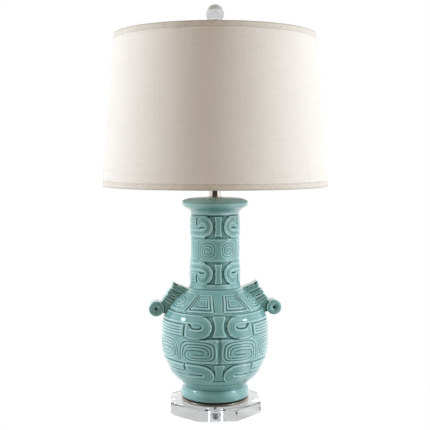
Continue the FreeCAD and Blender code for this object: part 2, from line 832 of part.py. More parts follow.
def finial_base():
    z = finial_z
    cup_z = ball_z - finial_ball_r + 2.6
    body = turned_outline([(0, z), (finial_foot_r, z), (finial_foot_r, z + finial_foot_h - 1.0),
                           (finial_foot_r - 1.0, z + finial_foot_h),
                           (finial_neck_r, z + finial_foot_h + 2.0),
                           (finial_neck_r, cup_z - finial_cup_h), (finial_cup_r, cup_z - 2.0),
                           (finial_cup_r, cup_z), (0, cup_z)])
    pin = Part.makeCylinder(finial_pin_r, finial_pin_h, at(0, ball_z - finial_ball_r))
    seat = Part.makeSphere(finial_ball_r + turn_gap, at(0, ball_z))
    thread = Part.makeCylinder(stud_r + turn_gap, stud_h + 1.0, at(0, z))
    return body.cut([seat, thread]).fuse(pin)


def stack_pieces():
    yield "bumper_pads", bumper_pads()
    yield "acrylic_base", clear_base()
    yield "nickel_disc", nickel_disc()
    yield "foot_gasket", ring(gasket_r, gasket_hole_r, gasket_z, gasket_t)
    yield "jar_body", jar()
    yield "handle_right", luted_handle(jar_turn)
    yield "handle_left", luted_handle(jar_turn + 180)
    yield "cord_bushing", cord_bushing()
    yield "lamp_rod", lamp_rod()
    yield "base_washer", ring(washer_r, rod_r + fit_gap, nut_z + nut_t, washer_t)
    yield "base_nut", hex_nut(nut_z, nut_t)
    yield "neck_washer", ring(neck_washer_r, rod_r + fit_gap, neck_z, neck_washer_t)
    yield "neck_tube", ring(tube_r, tube_r - tube_wall, tube_z, tube_len)
    yield "harp_saddle", harp_saddle()
    yield "lock_nut", hex_nut(lock_nut_z, lock_nut_t)


def socket_pieces():
    yield "socket_cap", socket_cap()
    yield "set_screw", set_screw()
    yield "socket_shell", socket_shell()
    yield "socket_liner", socket_liner()
    yield "socket_core", socket_core()
    yield "screw_shell", screw_shell()
    yield "centre_contact", centre_contact()
    yield "terminal_screws", terminal_screws()
    yield "knob_spindle", knob_spindle()
    yield "turn_knob", turn_knob()
    yield "bulb_tip", bulb_tip()
    yield "bulb_cap", bulb_cap()
    yield "bulb_globe", bulb_globe()


def upper_pieces():
    yield "harp_wire", harp_wire()
    yield "harp_stud", harp_stud()
    yield "harp_sleeve_left", sleeve(-1)
    yield "harp_sleeve_right", sleeve(1)
    yield "shade_panel", shade_panel()
    yield "shade_top_trim", shade_top_trim()
    yield "shade_bottom_trim", shade_bottom_trim()
    yield "shade_spider", shade_spider()
    yield "shade_bottom_ring", shade_bottom_ring()
    yield "finial_base", finial_base()
    yield "finial_ball", finial_ball()


os.makedirs("parts", exist_ok=True)
for pieces in (stack_pieces(), socket_pieces(), upper_pieces()):
    for name, shape in pieces:
        shape.exportStep("parts/" + name + ".step")
        print(name, "solids", len(shape.Solids), "valid", shape.isValid(),
              "volume", round(shape.Volume / 1000.0, 2), "cm3")
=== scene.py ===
# A table lamp: a celadon bottle-form jar with scroll handles on a clear octagonal base,
# and a linen drum shade on a harp. Metres, Z up, front towards -Y. Sizes in the piece
# dictionaries are millimetres unless a note says otherwise.
import json
import math
import bpy
import bmesh
import numpy as np
from mathutils import Matrix, Vector


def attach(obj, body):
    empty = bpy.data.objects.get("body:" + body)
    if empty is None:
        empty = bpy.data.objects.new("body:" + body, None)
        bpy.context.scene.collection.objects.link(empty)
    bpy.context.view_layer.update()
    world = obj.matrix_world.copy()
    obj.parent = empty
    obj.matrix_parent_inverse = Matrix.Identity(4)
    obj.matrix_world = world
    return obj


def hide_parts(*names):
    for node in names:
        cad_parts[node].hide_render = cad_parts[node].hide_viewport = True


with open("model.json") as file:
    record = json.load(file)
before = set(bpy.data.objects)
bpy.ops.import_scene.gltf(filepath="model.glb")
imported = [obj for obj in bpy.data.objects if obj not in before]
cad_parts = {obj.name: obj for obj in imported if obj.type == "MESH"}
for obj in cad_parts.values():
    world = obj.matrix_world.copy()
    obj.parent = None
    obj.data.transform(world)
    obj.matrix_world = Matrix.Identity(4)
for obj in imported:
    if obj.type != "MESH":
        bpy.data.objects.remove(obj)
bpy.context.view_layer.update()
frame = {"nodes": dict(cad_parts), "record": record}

nodes = frame["nodes"]
mm = 0.001
print("frame loaded:", len(nodes), "nodes")


# Shader helpers
def srgb(red, green, blue):
    # a colour as it looks on a screen, 0 to 255, turned into the linear values shaders take
    channels = [v / 255 for v in (red, green, blue)]
    linear = [v / 12.92 if v < 0.04045 else ((v + 0.055) / 1.055) ** 2.4 for v in channels]
    return (*linear, 1.0)


def put(tree, kind, values=None, **settings):
    # one node: settings are its own options, values its sockets, numbers or links
    node = tree.nodes.new(kind)
    for name, value in settings.items():
        setattr(node, name, value)
    for name, value in (values or {}).items():
        socket = node.inputs[name]
        if isinstance(value, bpy.types.NodeSocket):
            tree.links.new(value, socket)
        else:
            socket.default_value = value
    return node


def emptied(owner):
    # the node tree of a material or world, with nothing in it
    owner.use_nodes = True
    owner.node_tree.nodes.clear()
    return owner.node_tree


def maths(tree, operation, *values, clamp=False):
    return put(tree, "ShaderNodeMath", dict(enumerate(values)), operation=operation,
               use_clamp=clamp).outputs[0]


def mixed(tree, factor, first, second):
    return put(tree, "ShaderNodeMix", {0: factor, 6: first, 7: second}, data_type="RGBA").outputs[2]


def spread(tree, value, low, high, newLow=0.0, newHigh=1.0):
    return put(tree, "ShaderNodeMapRange", {"Value": value, "From Min": low, "From Max": high,
                                            "To Min": newLow, "To Max": newHigh}).outputs[0]


def noise(tree, place, scale, detail=2.0, roughness=0.5, distortion=0.0):
    return put(tree, "ShaderNodeTexNoise", {"Vector": place, "Scale": scale, "Detail": detail,
                                            "Roughness": roughness, "Distortion": distortion}).outputs[0]


def splitUp(tree, vector):
    return put(tree, "ShaderNodeSeparateXYZ", {0: vector}).outputs


def joined(tree, x, y):
    return put(tree, "ShaderNodeCombineXYZ", {0: x, 1: y}).outputs[0]


def startGroup(name, takes, gives=("Color", "Roughness", "Height")):
    # takes a place, then one socket for each label, of the kind that its own value is
    group = bpy.data.node_groups.new(name, "ShaderNodeTree")
    make = group.interface.new_socket
    make("Place", in_out="INPUT", socket_type="NodeSocketVector")
    for label, value in takes.items():
        kind = "NodeSocketColor" if isinstance(value, tuple) else "NodeSocketFloat"
        make(label, in_out="INPUT", socket_type=kind).default_value = value
    for label in gives:
        kind = "NodeSocketColor" if label == "Color" else "NodeSocketFloat"
        make(label, in_out="OUTPUT", socket_type=kind)
    entry, leave = group.nodes.new("NodeGroupInput"), group.nodes.new("NodeGroupOutput")
    return group, entry.outputs, leave.inputs


def endGroup(group, out, *sockets):
    for index, socket in enumerate(sockets):
        group.links.new(socket, out[index])
    return group


def startMaterial(name, **constants):
    # a Principled surface; constants are set on the shader's own sockets
    material = bpy.data.materials.new(name)
    tree = emptied(material)
    shader = put(tree, "ShaderNodeBsdfPrincipled",
                 {label.replace("_", " "): value for label, value in constants.items()})
    put(tree, "ShaderNodeOutputMaterial", {"Surface": shader.outputs[0]})
    return material, tree, shader, put(tree, "ShaderNodeTexCoord").outputs["Object"]


def dress(tree, shader, group, values, strength, distance):
    # a shared effect's colour and roughness on the shader's sockets, its height as bump
    given = put(tree, "ShaderNodeGroup", values, node_tree=group).outputs
    for label, socket in (("Color", "Base Color"), ("Roughness", "Roughness")):
        if label in given:
            tree.links.new(given[label], shader.inputs[socket])
    bump = put(tree, "ShaderNodeBump", {"Height": given["Height"], "Strength": strength,
                                        "Distance": distance})
    tree.links.new(bump.outputs[0], shader.inputs["Normal"])
    return given


# Shared effects
def makeGlazeFilm():
    # thick glaze: thin and pale on crests, deep where it pools; pool runs from 0 to 1, 0.5 is flat
    group, given, out = startGroup("glazeFilm", {
        "Pool": 0.5, "Thin": (0.6, 0.8, 0.75, 1), "Body": (0.3, 0.5, 0.5, 1),
        "Deep": (0.05, 0.15, 0.15, 1), "Mottle": 0.1})
    cloud = noise(group, given["Place"], 38.0, 4.0, 0.55)
    speck = noise(group, given["Place"], 420.0, 2.0, 0.6)
    wave = noise(group, given["Place"], 95.0, 1.0, 0.4)
    shift = maths(group, "MULTIPLY", maths(group, "SUBTRACT", cloud, 0.5), given["Mottle"])
    pool = maths(group, "ADD", given["Pool"], shift, clamp=True)
    colour = mixed(group, spread(group, pool, 0.47, 0.12), given["Body"], given["Thin"])
    colour = mixed(group, spread(group, pool, 0.52, 0.95), colour, given["Deep"])
    colour = mixed(group, spread(group, speck, 0.62, 0.78, 0.0, 0.16), colour, given["Thin"])
    return endGroup(group, out, colour, spread(group, cloud, 0.3, 0.7, 0.10, 0.17),
                    maths(group, "MULTIPLY_ADD", speck, 0.12, wave))


def makeMetalWear():
    # fine rubbing marks round the lamp's axis, with cloudy fingerprints over them
    group, given, out = startGroup("metalWear", {
        "Polish": 0.12, "Cloud": 0.08, "Tone": (0.7, 0.67, 0.62, 1), "Tarnish": (0.4, 0.36, 0.3, 1),
        "Age": 0.15})
    x, y, z = list(splitUp(group, given["Place"]))
    around = maths(group, "MULTIPLY", maths(group, "ARCTAN2", y, x), 0.004)
    lines = noise(group, joined(group, around, z), 2600.0, 3.0, 0.6)
    cloud = noise(group, given["Place"], 55.0, 4.0, 0.6)
    rough = maths(group, "MULTIPLY_ADD", lines, given["Cloud"], given["Polish"])
    rough = maths(group, "MULTIPLY_ADD", cloud, given["Cloud"], rough)
    stain = maths(group, "MULTIPLY", spread(group, cloud, 0.52, 0.75), given["Age"])
    return endGroup(group, out, mixed(group, stain, given["Tone"], given["Tarnish"]), rough, lines)


def makeMouldedGrain():
    # moulded plastic, card or glass: a fine grain, a cloudy tone and dust that lies on top faces
    group, given, out = startGroup("mouldedGrain", {
        "Tone": (0.1, 0.1, 0.1, 1), "Dust": (0.4, 0.38, 0.35, 1), "Dustiness": 0.1,
        "Grain scale": 900.0, "Gloss": 0.4})
    grain = noise(group, given["Place"], given["Grain scale"], 3.0, 0.6)
    cloud = noise(group, given["Place"], 60.0, 3.0, 0.5)
    up = splitUp(group, put(group, "ShaderNodeNewGeometry").outputs["Normal"])[2]
    lying = maths(group, "MULTIPLY", spread(group, up, 0.2, 1.0), spread(group, cloud, 0.35, 0.7))
    amount = maths(group, "MULTIPLY", lying, given["Dustiness"])
    tone = mixed(group, spread(group, cloud, 0.3, 0.7, 0.0, 0.12), given["Tone"], given["Dust"])
    rough = maths(group, "MULTIPLY_ADD", grain, 0.18, given["Gloss"])
    return endGroup(group, out, mixed(group, amount, tone, given["Dust"]),
                    maths(group, "MULTIPLY_ADD", amount, 0.5, rough), grain)


def makeHandling():
    # what handling leaves on clear pieces: faint smears and hair-fine scratches
    group, given, out = startGroup("handling", {"Smear": 0.05, "Base": 0.02}, ("Roughness", "Height"))
    smear = spread(group, noise(group, given["Place"], 28.0, 4.0, 0.6, 0.6), 0.5, 0.75)
    hair = put(group, "ShaderNodeTexVoronoi", {"Vector": given["Place"], "Scale": 140.0},
               feature="DISTANCE_TO_EDGE").outputs["Distance"]
    return endGroup(group, out, maths(group, "MULTIPLY_ADD", smear, given["Smear"], given["Base"]),
                    maths(group, "MULTIPLY", spread(group, hair, 0.02, 0.0), 0.3))


glazeFilm = makeGlazeFilm()
metalWear = makeMetalWear()
mouldedGrain = makeMouldedGrain()
handling = makeHandling()


# Finishes: one maker for each kind, one entry for each finish
def glazeMaterial(name, tones):
    material, tree, shader, place = startMaterial(name, IOR=1.52, Coat_Weight=0.25, Coat_Roughness=0.04)
    pool = put(tree, "ShaderNodeAttribute", attribute_name="glazePool").outputs["Fac"]
    dress(tree, shader, glazeFilm, {"Place": place, "Pool": pool, **tones}, 0.35, 0.0006)
    return material


def metalMaterial(name, tone, tarnish, polish, cloud, age, scratch=0.05):
    material, tree, shader, place = startMaterial(name, Metallic=1.0)
    dress(tree, shader, metalWear, {"Place": place, "Tone": tone, "Tarnish": tarnish, "Polish": polish,
                                    "Cloud": cloud, "Age": age}, scratch, 0.0002)
    return material


def mouldedMaterial(name, tone, dust, dustiness, gloss, grainScale=900.0, strength=0.3):
    material, tree, shader, place = startMaterial(name, IOR=1.48)
    dress(tree, shader, mouldedGrain, {"Place": place, "Tone": tone, "Dust": dust, "Gloss": gloss,
                                       "Dustiness": dustiness, "Grain scale": grainScale},
          strength, 0.0002)
    return material


def clearMaterial(name, tone, ior, smear, base):
    material, tree, shader, place = startMaterial(name, Base_Color=tone, IOR=ior, Transmission_Weight=1.0)
    dress(tree, shader, handling, {"Place": place, "Smear": smear, "Base": base}, 0.04, 0.0001)
    return material


celadon = {"Thin": srgb(174, 206, 198), "Body": srgb(120, 163, 154), "Deep": srgb(38, 84, 78),
           "Mottle": 0.28}
finishes = {
    "celadon_glaze": glazeMaterial("celadonGlaze", celadon),
    "clear_acrylic": clearMaterial("clearAcrylic", (0.94, 0.95, 0.95, 1), 1.49, 0.05, 0.0),
    "clear_crystal": clearMaterial("clearCrystal", (0.94, 0.94, 0.94, 1), 1.52, 0.03, 0.0),
    "polished_nickel": metalMaterial("polishedNickel", srgb(205, 198, 188), srgb(120, 108, 96),
                                     0.10, 0.08, 0.25),
    "satin_nickel": metalMaterial("satinNickel", srgb(190, 184, 175), srgb(112, 104, 96),
                                  0.26, 0.12, 0.3, 0.12),
    "zinc_steel": metalMaterial("zincSteel", srgb(176, 178, 180), srgb(118, 116, 112),
                                0.34, 0.16, 0.4, 0.15),
    "contact_brass": metalMaterial("contactBrass", srgb(206, 168, 96), srgb(122, 84, 44),
                                   0.24, 0.14, 0.4, 0.1),
    "bulb_cap_metal": metalMaterial("bulbCapMetal", srgb(196, 196, 194), srgb(130, 128, 124),
                                    0.28, 0.14, 0.35, 0.1),
    "spider_wire": metalMaterial("spiderWire", srgb(178, 172, 160), srgb(110, 100, 88),
                                 0.3, 0.14, 0.35, 0.12),
    "pad_rubber": clearMaterial("padRubber", (0.9, 0.91, 0.9, 1), 1.42, 0.1, 0.16),
    "dark_gasket": mouldedMaterial("darkGasket", srgb(30, 31, 32), srgb(96, 92, 86), 0.12, 0.5),
    "black_plastic": mouldedMaterial("blackPlastic", srgb(26, 26, 27), srgb(104, 100, 94), 0.14, 0.34),
    "insulating_card": mouldedMaterial("insulatingCard", srgb(150, 122, 86), srgb(188, 164, 130),
                                       0.15, 0.6, 500.0, 0.5),
    "frosted_glass": mouldedMaterial("frostedGlass", srgb(238, 236, 230), srgb(222, 218, 208),
                                     0.1, 0.22, 1500.0, 0.08),
    "shade_linen": mouldedMaterial("shadeLinenPlain", srgb(226, 218, 204), srgb(236, 230, 220),
                                   0.1, 0.7, 700.0, 0.4),
    "shade_tape": mouldedMaterial("shadeTapePlain", srgb(222, 213, 198), srgb(232, 226, 214),
                                  0.1, 0.7, 700.0, 0.4),
}
for part in frame["record"]["subparts"]:
    slots = nodes[part["node"]].data.materials
    slots.clear()
    slots.append(finishes[part["material_slot"]])
print("finishes made:", len(finishes))


# Stage: camera, floor, two tall soft boxes, two small lamps, a pale room
view = {"distance": 1.5208, "height": 0.4753, "tilt": 0.076, "focal": 70.17, "sensor": 36.0}  # m, rad
room = {  # levels, tints, and metres for the floor
    "floorTone": (0.86, 0.86, 0.86, 1), "floorLift": 0.55, "floorHalf": 7.0, "shadowReach": (0.14, 0.34),
    "fill": 0.33, "fillTint": (1.0, 0.80, 0.575, 1), "throughGlass": 0.62,
    "shineFront": 0.04, "shineSides": 1.4, "shineAbove": 0.6, "shineFrom": (-0.6, 0.2),
    "glowAt": -0.42, "glowHalf": 0.3, "glowAcross": 0.3, "glowLeft": 1.3, "glowRight": 2.4,
    "aboveFrom": (0.45, 0.85), "floorDrop": 0.0002,
}
softBoxes = {  # azimuth from the front, degrees; sizes in metres, power in watts
    "leftBox": {"azimuth": -88, "distance": 2.4, "height": 1.15, "size": (0.75, 2.2), "power": 64},
    "rightBox": {"azimuth": 79, "distance": 2.4, "height": 1.15, "size": (0.6, 2.2), "power": 62},
}
glints = {  # small lamps seen only as highlights
    "leftGlint": {"azimuth": -81, "distance": 2.4, "height": 1.5, "size": (0.42, 0.3), "power": 9.0},
    "rightGlint": {"azimuth": 75, "distance": 2.4, "height": 1.5, "size": (0.4, 0.3), "power": 7.5},
}
lampTint = (0.87, 1.03, 1.26)
lampAim = 0.55  # lamps point at this share of their own height


def placed(name, data):
    item = bpy.data.objects.new(name, data)
    bpy.context.scene.collection.objects.link(item)
    return item


def makeCamera():
    lens = bpy.data.cameras.new("camera")
    lens.lens, lens.sensor_width = view["focal"], view["sensor"]
    camera = placed("camera", lens)
    camera.location = (0, -view["distance"], view["height"])
    camera.rotation_euler = (math.pi / 2 - view["tilt"], 0, 0)
    bpy.context.scene.camera = camera


def seenBy(tree):
    # rays straight from the camera, rays that a shiny surface sends on, rays that come through glass
    path = put(tree, "ShaderNodeLightPath").outputs
    return path["Is Camera Ray"], path["Is Glossy Ray"], path["Is Transmission Ray"]


def sideShine(tree, x, y):
    # what shiny surfaces meet: dark in front, bright at the sides and behind, a soft glow between
    shine = spread(tree, y, *room["shineFrom"], room["shineFront"], room["shineSides"])
    off = maths(tree, "ABSOLUTE", maths(tree, "SUBTRACT", y, room["glowAt"]))
    across = room["glowAcross"]
    glow = maths(tree, "MULTIPLY", spread(tree, off, room["glowHalf"], 0.0),
                 spread(tree, x, -across, across, room["glowLeft"], room["glowRight"]))
    return maths(tree, "ADD", shine, glow)


def emitted(tree, strength):
    return put(tree, "ShaderNodeEmission", {"Strength": strength}).outputs[0]


def chosen(tree, factor, otherwise, then):
    return put(tree, "ShaderNodeMixShader", {0: factor, 1: otherwise, 2: then}).outputs[0]


def makeFloor():
    material = bpy.data.materials.new("paleFloor")
    tree = emptied(material)
    plain = put(tree, "ShaderNodeBsdfDiffuse", {"Color": room["floorTone"]}).outputs[0]
    lifted = put(tree, "ShaderNodeAddShader", {0: plain, 1: emitted(tree, room["floorLift"])}).outputs[0]
    place = put(tree, "ShaderNodeTexCoord").outputs["Object"]
    away = put(tree, "ShaderNodeVectorMath", {0: place}, operation="LENGTH").outputs["Value"]
    shown = chosen(tree, spread(tree, away, *room["shadowReach"]), lifted, emitted(tree, 1.0))
    x, y = [maths(tree, "DIVIDE", part, away) for part in list(splitUp(tree, place))[:2]]
    seen, glossy, through = seenBy(tree)
    mix = chosen(tree, seen, plain, shown)
    mix = chosen(tree, glossy, mix, emitted(tree, sideShine(tree, x, y)))
    mix = chosen(tree, through, mix, emitted(tree, room["throughGlass"]))
    put(tree, "ShaderNodeOutputMaterial", {"Surface": mix})
    half = room["floorHalf"]
    mesh = bpy.data.meshes.new("floor")
    mesh.from_pydata([(-half, -half, 0), (half, -half, 0), (half, half, 0), (-half, half, 0)], [],
                     [(0, 1, 2, 3)])
    mesh.materials.append(material)
    floor = placed("floor", mesh)
    floor.location.z = -room["floorDrop"]


def makeRoom():
    # a dim warm room: white where looked at, with pale screens at both sides for shiny surfaces
    world = bpy.data.worlds.new("room")
    bpy.context.scene.world = world
    tree = emptied(world)
    x, y, z = list(splitUp(tree, put(tree, "ShaderNodeTexCoord").outputs["Generated"]))
    above = spread(tree, z, *room["aboveFrom"])
    shine = put(tree, "ShaderNodeMix", {0: above, 2: sideShine(tree, x, y), 3: room["shineAbove"]},
                data_type="FLOAT").outputs[0]
    seen, glossy, through = seenBy(tree)
    white = (1, 1, 1, 1)
    level = None
    for ray, tint, strength in ((None, room["fillTint"], room["fill"]), (glossy, white, shine),
                                (through, white, room["throughGlass"]), (seen, white, 1.0)):
        light = put(tree, "ShaderNodeBackground", {"Color": tint, "Strength": strength}).outputs[0]
        level = chosen(tree, ray, level, light) if level else light
    put(tree, "ShaderNodeOutputWorld", {"Surface": level})


def makeLamps():
    for name, box in [*softBoxes.items(), *glints.items()]:
        lamp = bpy.data.lights.new(name, "AREA")
        lamp.shape = "RECTANGLE"
        lamp.size, lamp.size_y = box["size"]
        lamp.energy = box["power"]
        lamp.color = lampTint
        angle = math.radians(box["azimuth"])
        place = Vector((math.sin(angle), -math.cos(angle), 0)) * box["distance"]
        place.z = box["height"]
        aim = Vector((0, 0, box["height"] * lampAim)) - place
        holder = placed(name, lamp)
        holder.location = place
        holder.rotation_euler = aim.to_track_quat("-Z", "Y").to_euler()
        holder.visible_glossy = name in glints
        holder.visible_diffuse = holder.visible_transmission = name in softBoxes


makeCamera()
makeFloor()
makeRoom()
makeLamps()
bpy.context.scene.view_settings.view_transform = "Standard"
bpy.context.scene.cycles.glossy_bounces = 12  # light turns many times inside the clear base
print("stage set")


# Mesh helpers
def newPiece(name, points, faces, *rest):
    # points in millimetres
    mesh = bpy.data.meshes.new(name)
    mesh.from_pydata((np.asarray(points, float) * mm).tolist(), [], faces)
    return finishPiece(name, mesh, *rest)


def finishPiece(name, mesh, body, slotName, sharpOver=None, material=None):
    # smooth, with edges sharp where they turn by more than sharpOver degrees
    mesh.validate()
    mesh.polygons.foreach_set("use_smooth", [True] * len(mesh.polygons))
    if sharpOver is not None:
        mesh.set_sharp_from_angle(angle=math.radians(sharpOver))
    mesh.materials.append(material or finishes[slotName])
    piece = placed(name, mesh)
    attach(piece, body)
    return piece


def settled(mesh, *modifiers):
    # the mesh as the modifiers leave it; each is (kind, its options)
    holder = placed("holder", mesh)
    for kind, options in modifiers:
        modifier = holder.modifiers.new(kind.lower(), kind)
        for option, value in options.items():
            setattr(modifier, option, value)
    shaped = bpy.data.meshes.new_from_object(holder.evaluated_get(bpy.context.evaluated_depsgraph_get()))
    bpy.data.objects.remove(holder)
    return shaped


def throughKnots(knots, steps=8):
    # a smooth line through given points, centripetal Catmull-Rom
    knots = np.asarray(knots, float)
    ends = np.vstack([2 * knots[0] - knots[1], knots, 2 * knots[-1] - knots[-2]])
    line = []
    for a, b, c, d in zip(ends, ends[1:], ends[2:], ends[3:]):
        gaps = [max(np.linalg.norm(q - p), 1e-6) ** 0.5 for p, q in ((a, b), (b, c), (c, d))]
        t1, t2, t3 = np.cumsum(gaps)
        for t in np.linspace(t1, t2, steps, endpoint=False):
            ab, bc = a + (b - a) * t / t1, b + (c - b) * (t - t1) / (t2 - t1)
            cd = c + (d - c) * (t - t2) / (t3 - t2)
            abc, bcd = ab + (bc - ab) * t / t2, bc + (cd - bc) * (t - t1) / (t3 - t1)
            line.append(abc + (bcd - abc) * (t - t1) / (t2 - t1))
    return np.vstack([line, knots[-1]])


def latheMesh(outline, columns, centre=(0, 0), closed=False):
    # (r, z) turned about an upright axis; a point on the axis becomes one vertex
    points, rings = [], []
    angles = [2 * math.pi * k / columns for k in range(columns)]
    for r, z in outline:
        if r < 1e-6:
            rings.append([len(points)] * columns)
            points.append((centre[0], centre[1], z))
        else:
            rings.append(list(range(len(points), len(points) + columns)))
            points += [(centre[0] + r * math.sin(a), centre[1] - r * math.cos(a), z) for a in angles]
    faces = []
    pairs = list(zip(rings, rings[1:])) + ([(rings[-1], rings[0])] if closed else [])
    for low, high in pairs:
        for k in range(columns):
            face = [low[k], low[(k + 1) % columns], high[(k + 1) % columns], high[k]]
            face = list(dict.fromkeys(face))
            if len(face) > 2:
                faces.append(face)
    return points, faces


# Clear base: an octagonal slab with softened, polished edges, bored for the rod
slab = {"across": 163.0, "cornerLeg": 45.6, "turn": 3.0, "low": 2.03, "high": 20.98, "bevel": 1.3,
        "bevelSteps": 3, "bevelShape": 0.6, "boreRadius": 5.6, "counterRadius": 17.0,
        "counterDepth": 10.0, "boreColumns": 64, "boreBeyond": 5.0}


def makeSlab():
    half, short = slab["across"] / 2, slab["across"] / 2 - slab["cornerLeg"]
    corners = [(half, -short), (half, short), (short, half), (-short, half),
               (-half, short), (-half, -short), (-short, -half), (short, -half)]
    build = bmesh.new()
    low, high = [[build.verts.new((x * mm, y * mm, slab[end] * mm)) for x, y in corners]
                 for end in ("low", "high")]
    build.faces.new(low[::-1])
    build.faces.new(high)
    for k in range(8):
        after = (k + 1) % 8
        build.faces.new((low[k], low[after], high[after], high[k]))
    bmesh.ops.bevel(build, geom=build.edges[:], offset=slab["bevel"] * mm, segments=slab["bevelSteps"],
                    profile=slab["bevelShape"], affect="EDGES")
    bmesh.ops.rotate(build, verts=build.verts, matrix=Matrix.Rotation(math.radians(slab["turn"]), 3, "Z"))
    solid = bpy.data.meshes.new("slab")
    build.to_mesh(solid)
    build.free()
    beyond, step = slab["boreBeyond"], slab["low"] + slab["counterDepth"]
    floor, roof = slab["low"] - beyond, slab["high"] + beyond
    bore, counter = slab["boreRadius"], slab["counterRadius"]
    points, faces = latheMesh([(0, floor), (counter, floor), (counter, step), (bore, step), (bore, roof),
                               (0, roof)], slab["boreColumns"])
    cutter = bpy.data.meshes.new("slabCutter")
    cutter.from_pydata((np.asarray(points) * mm).tolist(), [], faces)
    tool = placed("slabCutter", cutter)
    shaped = settled(solid, ("BOOLEAN", {"object": tool, "operation": "DIFFERENCE", "solver": "EXACT"}))
    bpy.data.objects.remove(tool)
    piece = finishPiece("clearSlab", shaped, "base", "clear_acrylic", 12)
    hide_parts("acrylic_base")


# The disc the jar stands on, its rim turned round and its nickel painted darker for the dark reflection and
# shade on it, and the dark gasket that shows in the gap
footing = {
    "discRadius": 62.0, "discLow": 21.0, "discHigh": 26.0, "rimDepth": 2.2, "rimReach": 1.5, "bore": 5.6,
    # the gasket is part of the lamp, but its rim is grown up into the gap under the foot, so its black there
    # also stands in for the shadow in that gap
    # the gasket's section: (radius, level)
    "gasket": [(49.0, 26.02), (58.9, 26.02), (59.4, 26.6), (59.4, 27.8), (58.9, 28.4), (58.0, 28.4),
               (57.6, 26.96), (49.0, 26.96)],
}


def makeFooting():
    low, high, bore = footing["discLow"], footing["discHigh"], footing["bore"]
    rim, reach = footing["rimDepth"], footing["rimReach"]
    flat, middle, half = footing["discRadius"] - rim, (low + high) / 2, (high - low) / 2
    outline = [(bore, low), (flat, low)]
    outline += [(flat + rim * math.cos(a), middle + half * math.sin(a))
                for a in np.linspace(-reach, reach, 15)]
    outline += [(flat, high), (bore, high)]
    # a darker, more tarnished copy of the polished nickel: painted shade and a painted dark reflection on
    # the disc, not a different metal
    nickelPaintedDark = metalMaterial("discNickelPaintedShade", srgb(140, 133, 122), srgb(90, 78, 66), 0.16, 0.1, 0.5)
    piece = newPiece("disc", *latheMesh(outline, 192, closed=True), "base", "polished_nickel", 35, nickelPaintedDark)
    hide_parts("nickel_disc")
    piece = newPiece("gasket", *latheMesh(footing["gasket"], 144, closed=True), "base", "dark_gasket", 35)
    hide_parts("foot_gasket")


makeSlab()
makeFooting()
print("base done")


# Jar: outline, then the carving laid on it as a height map
jar = {
    "foot": [(52.0, 27.0), (57.6, 27.0), (58.2, 28.5), (60.8, 28.7), (62.4, 29.4), (63.0, 30.8)],
    "side": [(63.0, 30.8), (63.0, 35.0), (62.8, 39.5), (61.8, 43.2), (60.2, 46.3), (59.0, 48.6),
             (58.8, 50.2), (59.7, 52.2), (61.8, 54.6), (64.9, 57.6), (69.4, 61.4), (74.0, 65.2),
             (80.3, 72.8), (84.2, 80.4), (87.7, 88.0), (91.2, 95.6), (94.0, 103.0), (96.4, 118.0),
             (97.8, 133.0), (98.1, 145.0), (98.0, 158.0), (97.0, 167.0), (94.2, 176.5),
             (90.3, 185.0), (84.4, 193.5), (77.0, 203.0), (68.0, 213.0), (57.4, 221.4),
             (50.8, 226.4), (47.3, 230.8), (46.5, 236.0), (46.9, 250.0), (46.7, 266.0),
             (45.9, 276.0), (44.9, 284.0), (44.7, 300.0), (44.8, 316.0), (45.7, 326.0),
             (46.1, 340.0), (45.6, 354.0), (44.6, 361.0), (44.9, 364.6), (47.1, 368.2),
             (50.6, 371.2), (55.2, 374.2), (59.2, 377.4), (60.9, 380.4), (60.9, 383.0),
             (59.4, 385.8), (55.8, 388.2), (48.6, 390.4), (36.0, 392.1), (14.0, 393.0),
             (5.6, 393.0)],
    "inside": [(5.6, 385.0), (44.0, 385.0), (44.0, 379.0), (38.0, 360.0), (38.5, 232.0), (50.0, 214.0),
               (72.0, 196.0), (90.0, 160.0), (91.0, 130.0), (80.0, 88.0), (56.0, 60.0), (52.0, 52.0),
               (5.6, 52.0), (5.6, 44.0), (52.0, 44.0)],
    "quarterColumns": 200, "insideEvery": 8,  # one column inside for this many outside
    "rowStep": 0.8, "plainStep": 1.6, "plainBelow": 62.0, "plainAbove": 364.0,
    "plainWithin": 40.0, "shortestRow": 0.2, "turnChange": 230.0,
    "bodyTurn": 4.5, "neckTurn": 7.5, "turnFrom": 226.0, "turnTo": 236.0,  # degrees, and levels
    # paler (below zero) or deeper glaze bands, whatever the carving: level, half width, amount
    # partly the glaze's own thinning and pooling, partly painted light: a highlight on the foot's top edge,
    # shade in the waist and under the lip
    "glazeAndLightBands": [(41.0, 3.4, -0.1), (49.8, 2.0, 0.28), (58.2, 2.2, -0.1), (63.2, 1.3, 0.22), (361.6, 1.2, 0.3),
               (364.8, 1.1, -0.24), (372.5, 4.2, 0.2), (381.4, 1.5, -0.28), (387.4, 3.4, -0.12)],
    "outletLevel": 36.5, "outletRadius": 5.0, "outletDepth": 10.4, "outletHalf": 4.8,
    # how far round itself a point looks to tell a hollow from a crest, and how much that counts
    "poolNear": (1.8, 0.62), "poolWide": (5.0, 0.22),
}
carving = {"ridge": 0.85, "ridgeHalf": 1.45, "line": 0.6, "lineHalf": 1.15, "groove": 1.1,
           "grooveHalf": 1.5, "ground": 1.9, "edge": 1.1, "soften": 0.45, "strokeSteps": 6}


